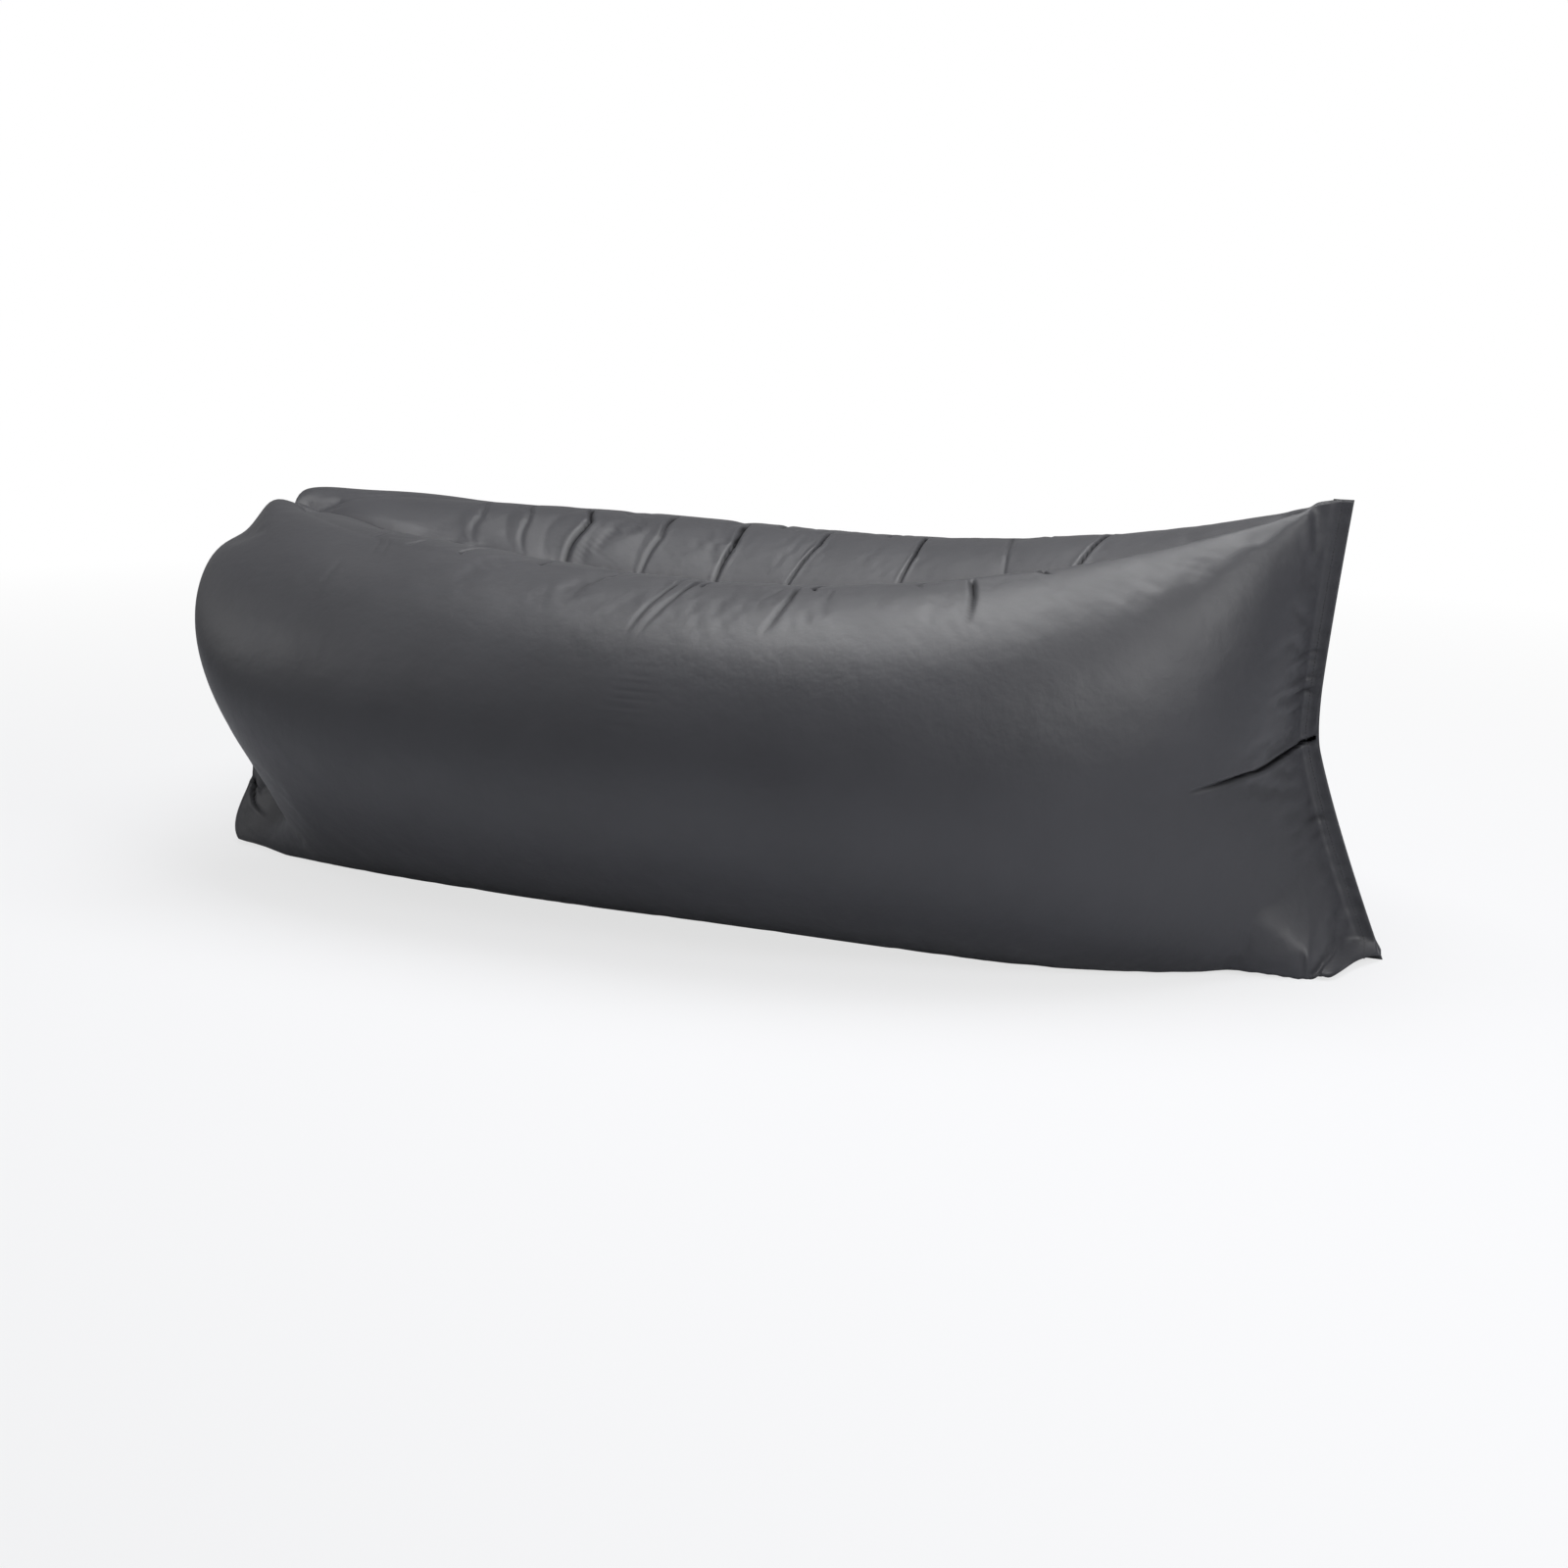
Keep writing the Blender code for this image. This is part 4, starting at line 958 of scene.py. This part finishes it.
def moulded_plastic():
    """Black moulded plastic with a fine spark-eroded grain, a little smoother where it is handled."""
    finish = Finish("black moulded plastic", 0.4, specular=0.5)
    finish.two_tones(finish.blotches(60, 3, 0, 1), (0.0115, 0.0115, 0.0125), (0.016, 0.016, 0.017))
    finish.rough(finish.blotches(40, 3, 0.32, 0.48))
    finish.raised(finish.blotches(2400, 2, 0, 1), 0.00003)
    return finish.material


def strip_plastic():
    """Pale extruded strip with faint draw lines."""
    finish = Finish("pale strip plastic", 0.4)
    finish.two_tones(finish.blotches(30, 2, 0, 1), (0.55, 0.55, 0.53), (0.63, 0.63, 0.61))
    finish.raised(finish.blotches(700, 2, 0, 1), 0.00003)
    return finish.material


def sewing_thread_with_painted_shade():
    """Thread darker than the cloth: partly its own dark colour, partly painted shade of stitches sunk into
    the cloth.
    """
    finish = Finish("slate thread", 0.65, sheen=0.1)
    finish.two_tones(finish.blotches(900, 2, 0, 1), (0.014, 0.014, 0.017), (0.026, 0.026, 0.030))
    finish.raised(finish.blotches(2500, 2, 0, 1), 0.00004)
    return finish.material


slate = coated_polyester()
webbing_finish = ribbed_webbing()
tape_finish = seam_tape()
plastic = moulded_plastic()
strip_finish = strip_plastic()
# The thread's dark colour is partly painted shade of the sunk stitches
thread = sewing_thread_with_painted_shade()


def dress(made, material, body, slot_name, *nodes):
    """Gives a piece its finish, its body, its material slot and the nodes that it stands for. Its slot name
    is not used.
    """
    made.data.materials.append(material)
    if nodes:
        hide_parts(*nodes)
    if body:
        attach(made, body)
    return made


def lip_stitches(points, side):
    """A row of short threads along a cover's lip, each a round-ended bead pressed into the cloth.

    A bead's width and height are its radius * sqrt(1 - t^2) at t from -1 to 1 along it.
    """
    row = int(np.argmin(np.abs(long_places + STITCH_INSET)))
    half = COLUMNS // 2
    line = points[row, : half + 1]
    gone = np.concatenate([[0], np.cumsum(np.linalg.norm(np.diff(line, axis=0), axis=1))])
    places = np.arange(STITCH_PITCH, gone[-1] - STITCH_PITCH, STITCH_PITCH)
    centre = np.stack([np.interp(places, gone, line[:, axis]) for axis in range(3)], -1)
    ahead = np.gradient(centre, axis=0)
    ahead /= np.linalg.norm(ahead, axis=1, keepdims=True)
    out = np.array([0.0, -side, 0.0]) - ahead * (ahead @ np.array([0.0, -side, 0.0]))[:, None]
    out /= np.linalg.norm(out, axis=1, keepdims=True)
    across = np.cross(ahead, out)
    turn = np.arange(STITCH_SIDES) * 2 * pi / STITCH_SIDES
    station = np.linspace(-1, 1, STITCH_STATIONS)
    swell = np.sqrt(np.clip(1 - station**2, 0.05, 1))[:, None]
    wide = swell * np.cos(turn) * STITCH_RADIUS * 1.3
    high = swell * np.sin(turn) * STITCH_RADIUS + STITCH_RADIUS * 0.4
    long = station[:, None] * STITCH_LENGTH / 2 * np.ones((1, STITCH_SIDES))
    axes = (ahead, across, out)
    sizes = (long, wide, high)
    bead = sum(size[..., None] * axis[:, None, None] for size, axis in zip(sizes, axes))
    return centre[:, None, None] + bead


move = settled(coarse, tube_length)
tubes = (("front", form, 1, FRONT_CREASES, FRONT_SEED), ("rear", rear_form, -1, REAR_CREASES, REAR_SEED))
threads = []
for label, shape, side, creases, seed in tubes:
    tube, points = cover(f"{label}_cover", shape, side, move, cover_heights(creases, seed))
    dress(tube, slate, "lounger", "slate_fabric", f"{label}_tube_sleeve", f"{label}_air_liner")
    threads.append(lip_stitches(points, side))


def end_hem():
    """The turned edges between the two lips: a thin flat band with a rounded edge and a slight ripple.

    Half its thickness is t*sqrt(1-e^2), where e goes from nought to one over the last 3 % of its width.
    """
    rows = 241
    columns = 29
    angle = np.linspace(0, pi, rows)
    x, z = seam_line(angle)
    beyond = HEM_WIDTH + hem_reach(np.cos(angle))
    share = np.linspace(0, 1, columns)
    rounding = np.sqrt(np.clip(1 - np.clip((share - 0.97) / 0.03, 0, 1) ** 2, 0.0004, 1))
    ripple = 0.00006 * np.sin(angle[:, None] * 210 + 3 * share[None]) * np.sin(angle[:, None] * 17)
    faces = []
    for hand in (1, -1):
        y = (hand * HEM_CORE / 2 + ripple) * rounding
        out = x[:, None] + SEAT_GAP + (beyond[:, None] - SEAT_GAP) * share
        face = np.stack([out, y, z[:, None] + 0 * y], -1)
        faces.append(face[:, ::hand])
    made = closed_tube("hem_band", np.concatenate(faces, axis=1) + np.array([shift, 0, 0]))
    lengthwise_uv(made, np.linspace(0, FLAT_WIDTH, rows), np.linspace(0, 2 * HEM_WIDTH, 2 * columns + 1))
    return made


def beads(name, rings):
    """One mesh of many small closed skins, each over its own rings of points."""
    count, rows, columns = rings.shape[:3]
    faces = grid_faces(rows, columns)
    first = np.arange(columns)[::-1]
    last = np.arange(columns) + (rows - 1) * columns
    flip = signed_volume(rings[0]) < 0
    every = []
    for shape in (faces, first[None], last[None]):
        shape = shape[:, ::-1] if flip else shape
        moved = shape[None] + (np.arange(count) * rows * columns)[:, None, None]
        every += moved.reshape(-1, shape.shape[1]).tolist()
    return mesh_object(name, rings, every)


dress(end_hem(), slate, "lounger", "slate_fabric", "end_seam_hem")
dress(beads("lip_stitches", np.concatenate(threads)), thread, "lounger", "slate_fabric")


def ribbed_profile(thickness, width, rib, edge):
    """Offsets and places round a woven band's section, which has seven ribs and thin edges.

    Half its thickness is t/2 - rib*(1+cos(7 pi s)) - edge*|s|^20, as s goes from -1 to 1 across it.
    """
    across = np.linspace(-1, 1, 43)
    half = thickness / 2 - rib * (1 + np.cos(across * 7 * pi)) - edge * np.abs(across) ** 20
    return np.concatenate([half, -half[::-1]]), np.concatenate([across, across[::-1]]) * width / 2


def join_band():
    """The tape between the two inner panels: a ribbed band that follows the line where they touch."""
    low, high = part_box("join_tape")
    middle = np.argmin(np.abs(round_place[0] + FLAT_WIDTH / 2))
    line = form[LIP_ROWS:, middle]
    x = np.linspace(low.x - shift, high.x - shift, 401)
    reaches = line[:, 0] > -MOUTH_REACH
    z = np.interp(x, line[reaches, 0][::-1], line[reaches, 2][::-1])
    sides, rise = ribbed_profile(TAPE_THICKNESS, TAPE_WIDTH, 0.00005, 0.0002)
    rings = np.stack([x[:, None] + 0 * sides + shift, 0 * x[:, None] + sides, z[:, None] + rise], -1)
    made = closed_tube("join_band", rings)
    lengthwise_uv(made, x - x[0], np.linspace(0, 2 * TAPE_WIDTH, len(sides) + 1))
    return made


dress(join_band(), tape_finish, "lounger", "seam_tape", "join_tape")


# Rolled mouth

CORE_HALF_DEPTH = 0.0042
CORE_HALF_WIDTH = 0.0156
ROLL_LAYER = 0.0024
ROLL_PITCH = 0.0036
ROLL_TURNS = 2
ROLL_TURN_POINTS = 34
ROLL_RINGS = 161
ROLL_END_TURN = pi / 2 + pi / 4
ROLL_GIRTH = 0.36


def mouth_roll():
    """An oval spiral of cloth carried round the mouth's ring, with its layers slightly uneven.

    Depth and width grow by one pitch a turn, each face lies half a layer off the spiral line, and the
    layers ripple by a third of a millimetre along the ring.
    """
    points = ROLL_TURN_POINTS * ROLL_TURNS
    turn = ROLL_END_TURN + np.linspace(-ROLL_TURNS * 2 * pi, 0, points + 1)
    growth = ROLL_PITCH * np.linspace(0, ROLL_TURNS, points + 1)
    depth = CORE_HALF_DEPTH + growth
    width = CORE_HALF_WIDTH + growth
    line = np.stack([depth * np.sin(turn), width * np.cos(turn)], -1)
    normal = np.stack([np.sin(turn) / depth, np.cos(turn) / width], -1)
    normal /= np.linalg.norm(normal, axis=1, keepdims=True)
    turns = np.linspace(-mouth_half_angle, mouth_half_angle, ROLL_RINGS)[:, None]
    ripple = 0.00028 * np.sin(turns * 23 + 2 * turn[None]) * np.sin(turns * 9 + turn[None] / 2)
    faces = []
    for hand in (1, -1):
        offset = hand * ROLL_LAYER / 2 + ripple
        faces.append(line[None] + normal[None] * offset[..., None])
    profile = np.concatenate([faces[0], faces[1][:, ::-1]], axis=1)
    radius = RING_RADIUS + profile[..., 0]
    x = shift - MOUTH_REACH + radius * np.cos(turns)
    rings = np.stack([x, profile[..., 1], RING_Z + radius * np.sin(turns)], -1)
    return closed_spiral("mouth_roll", rings)


def closed_spiral(name, rings):
    """A closed skin over rings whose two halves run side by side, so its ends are closed by strips."""
    rows, columns = rings.shape[:2]
    step = np.arange(columns // 2 - 1)
    cap = np.stack([step, columns - 1 - step, columns - 2 - step, step + 1], -1)
    faces = np.concatenate([grid_faces(rows, columns), cap, cap[:, ::-1] + (rows - 1) * columns])
    if signed_volume(rings) < 0:
        faces = faces[:, ::-1]
    made = mesh_object(name, rings, faces)
    lengthwise_uv(made, np.linspace(0, FLAT_WIDTH, rows), np.linspace(0, ROLL_GIRTH, columns + 1))
    return made


dress(mouth_roll(), slate, "lounger", "slate_fabric", "rolled_mouth")


def web_path():
    """The upper tab's middle line: its tail in the roll, round the ring, round the plug's bar and back up.

    It is made of arcs: about the ring's middle to the bar, half a turn about the bar, and back a layer
    further out, drawn in towards the bar at first.
    """
    buckle_x = -MOUTH_REACH - RING_RADIUS
    bar_z = RING_Z + BUCKLE_HALF - BAR_RADIUS
    loop = BAR_RADIUS + SEAT_GAP + WEB_THICKNESS / 2
    bar_radius = np.hypot(buckle_x + loop + MOUTH_REACH, bar_z - RING_Z)
    bar_turn = pi - asin((bar_z - RING_Z) / bar_radius)
    tail_turn = mouth_half_angle - WEB_TAIL / RING_RADIUS
    turns = np.linspace(tail_turn, bar_turn, 61)[:-1]
    clear = np.clip((turns - mouth_half_angle) / (bar_turn - mouth_half_angle), 0, 1)
    radii = RING_RADIUS + (bar_radius - RING_RADIUS) * clear
    run = np.stack([-MOUTH_REACH + radii * np.cos(turns), RING_Z + radii * np.sin(turns)], -1)
    around = -np.linspace(0, pi, 25)
    bend = np.stack([buckle_x + loop * np.cos(around), bar_z + loop * np.sin(around)], -1)
    back_turns = bar_turn - WEB_RETURN / RING_RADIUS * np.linspace(0.4, 1.0, 20)
    lapped = bar_radius + WEB_THICKNESS + WEB_LAYER_GAP
    back_x = -MOUTH_REACH + lapped * np.cos(back_turns)
    back_x += (buckle_x - loop - back_x) * 0.4 * np.linspace(1, 0, 20) ** 2
    back = np.stack([back_x, RING_Z + lapped * np.sin(back_turns)], -1)
    path = np.concatenate([run, bend, back])
    gone = np.concatenate([[0], np.cumsum(np.hypot(*np.diff(path, axis=0).T))])
    wanted = np.linspace(0, gone[-1], WEB_POINTS)
    return np.stack([np.interp(wanted, gone, path[:, axis]) for axis in range(2)], -1), gone[-1]


def webbing_tab(name, hand):
    """A ribbed band along the tab's path, mirrored about the ring's height for the lower one."""
    path, length = web_path()
    ahead = np.gradient(path, axis=0)
    ahead /= np.linalg.norm(ahead, axis=1, keepdims=True)
    normal = np.stack([-ahead[:, 1], ahead[:, 0]], -1)
    offsets, places = ribbed_profile(WEB_THICKNESS, WEB_WIDTH, 0.00008, 0.0003)
    x = path[:, :1] + normal[:, :1] * offsets[None] + shift
    z = path[:, 1:] + normal[:, 1:] * offsets[None]
    z = RING_Z + hand * (z - RING_Z)
    made = closed_tube(name, np.stack([x, places[None] + 0 * x, z], -1))
    lengthwise_uv(made, np.linspace(0, length, WEB_POINTS), np.linspace(0, 2 * WEB_WIDTH, len(places) + 1))
    return made


lower_tab = webbing_tab("lower_tab", -1)
dress(lower_tab, webbing_finish, "lounger", "black_webbing", "lower_webbing_tab")
upper_tab = webbing_tab("upper_tab", 1)
dress(upper_tab, webbing_finish, None, "black_webbing", "upper_webbing_tab")
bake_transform(upper_tab)

NODE_FINISHES = {
    "front_mouth_strip": strip_finish,
    "rear_mouth_strip": strip_finish,
    "buckle_plug": plastic,
    "buckle_socket": plastic,
    "plug_arm_front": plastic,
    "plug_arm_rear": plastic,
}
for node, material in NODE_FINISHES.items():
    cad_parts[node].material_slots[0].material = material


# Studio, in metres and watts: each lamp's name, place, aim, size and power

LAMPS = (
    ("overhead", (0.1, 0.2, 2.8), (0, 0, 0.2), 2.2, 88),
    ("right", (2.7, -1.6, 2.0), (0.7, 0, 0.3), 1.5, 52),
    ("left", (-3.2, -1.2, 1.8), (-0.7, 0, 0.3), 1.4, 14),
)
WORLD_STRENGTH = 0.24
FLOOR_HALF = 30
FLOOR_COLOUR = (0.61, 0.62, 0.66, 1)
FLOOR_SPOT_SCALE = 0.24
FLOOR_SPOT_PLACE = 0.35
FLOOR_NEAR_GLOW = 0.72
FLOOR_SPOT_EDGE = 0.55
VIEW_TURN = np.radians(23.37)
VIEW_DISTANCE = 3.869
VIEW_HEIGHT = 1.190
VIEW_AIM = (0.0833, 0, 0.1544)
LENS_PIXELS = 2753.8
PICTURE_WIDTH = 1600
SENSOR_WIDTH = 36


def pale_floor():
    """Pale bluish floor near the camera that turns white with distance, so that no horizon shows."""
    finish = Finish("pale floor", 0.9, specular=0.1)
    finish.shader.inputs["Base Color"].default_value = FLOOR_COLOUR
    spot = finish.node("ShaderNodeMapping", Vector=finish.places("Object"))
    spot.inputs["Location"].default_value = (0, FLOOR_SPOT_PLACE, 0)
    spot.inputs["Scale"].default_value = (FLOOR_SPOT_SCALE, FLOOR_SPOT_SCALE, FLOOR_SPOT_SCALE)
    away = finish.tree.nodes.new("ShaderNodeTexGradient")
    away.gradient_type = "SPHERICAL"
    finish.tree.links.new(spot.outputs["Vector"], away.inputs["Vector"])
    fade = finish.ranged(away.outputs["Fac"], (0, FLOOR_SPOT_EDGE), (1, FLOOR_NEAR_GLOW))
    seen = finish.tree.nodes.new("ShaderNodeLightPath")
    share = finish.node("ShaderNodeMath", _0=fade, _1=seen.outputs["Is Camera Ray"])
    share.operation = "MULTIPLY"
    glow = finish.node("ShaderNodeEmission", Color=(1, 1, 1, 1), Strength=1.0)
    mixed = finish.node("ShaderNodeMixShader", Fac=share.outputs["Value"])
    finish.tree.links.new(finish.shader.outputs["BSDF"], mixed.inputs[1])
    finish.tree.links.new(glow.outputs["Emission"], mixed.inputs[2])
    finish.tree.links.new(mixed.outputs["Shader"], finish.tree.nodes["Material Output"].inputs["Surface"])
    return finish.material


def soft_lamp(name, place, aim, size, power):
    """A square soft lamp that faces a point."""
    light = bpy.data.lights.new(name, "AREA")
    light.energy = power
    light.size = size
    lamp = bpy.data.objects.new(name, light)
    lamp.location = place
    lamp.rotation_euler = (Vector(aim) - Vector(place)).to_track_quat("-Z", "Y").to_euler()
    bpy.context.scene.collection.objects.link(lamp)


def studio():
    """Floor, white surroundings, soft lamps and the camera at the photograph's angle."""
    scene = bpy.context.scene
    corners = np.array([(-1, -1, 0), (1, -1, 0), (1, 1, 0), (-1, 1, 0)]) * FLOOR_HALF
    floor = mesh_object("floor", corners, [(0, 1, 2, 3)])
    floor.data.materials.append(pale_floor())
    world = bpy.data.worlds.new("studio")
    scene.world = world
    world.use_nodes = True
    tree = world.node_tree
    around = tree.nodes["Background"]
    around.inputs["Color"].default_value = (1, 1, 1, 1)
    around.inputs["Strength"].default_value = WORLD_STRENGTH
    white = tree.nodes.new("ShaderNodeBackground")
    white.inputs["Color"].default_value = (1, 1, 1, 1)
    seen = tree.nodes.new("ShaderNodeLightPath")
    pick = tree.nodes.new("ShaderNodeMixShader")
    tree.links.new(seen.outputs["Is Camera Ray"], pick.inputs[0])
    tree.links.new(around.outputs["Background"], pick.inputs[1])
    tree.links.new(white.outputs["Background"], pick.inputs[2])
    tree.links.new(pick.outputs["Shader"], tree.nodes["World Output"].inputs["Surface"])
    for lamp in LAMPS:
        soft_lamp(*lamp)
    aim = Vector(VIEW_AIM) + Vector((shift, 0, 0))
    view = bpy.data.cameras.new("camera")
    view.lens = LENS_PIXELS * SENSOR_WIDTH / PICTURE_WIDTH
    view.sensor_width = SENSOR_WIDTH
    camera = bpy.data.objects.new("camera", view)
    aside = VIEW_DISTANCE * np.sin(VIEW_TURN)
    camera.location = (aim.x + aside, -VIEW_DISTANCE * np.cos(VIEW_TURN), VIEW_HEIGHT)
    camera.rotation_euler = (aim - camera.location).to_track_quat("-Z", "Y").to_euler()
    scene.collection.objects.link(camera)
    scene.camera = camera
    scene.view_settings.view_transform = "Standard"


studio()
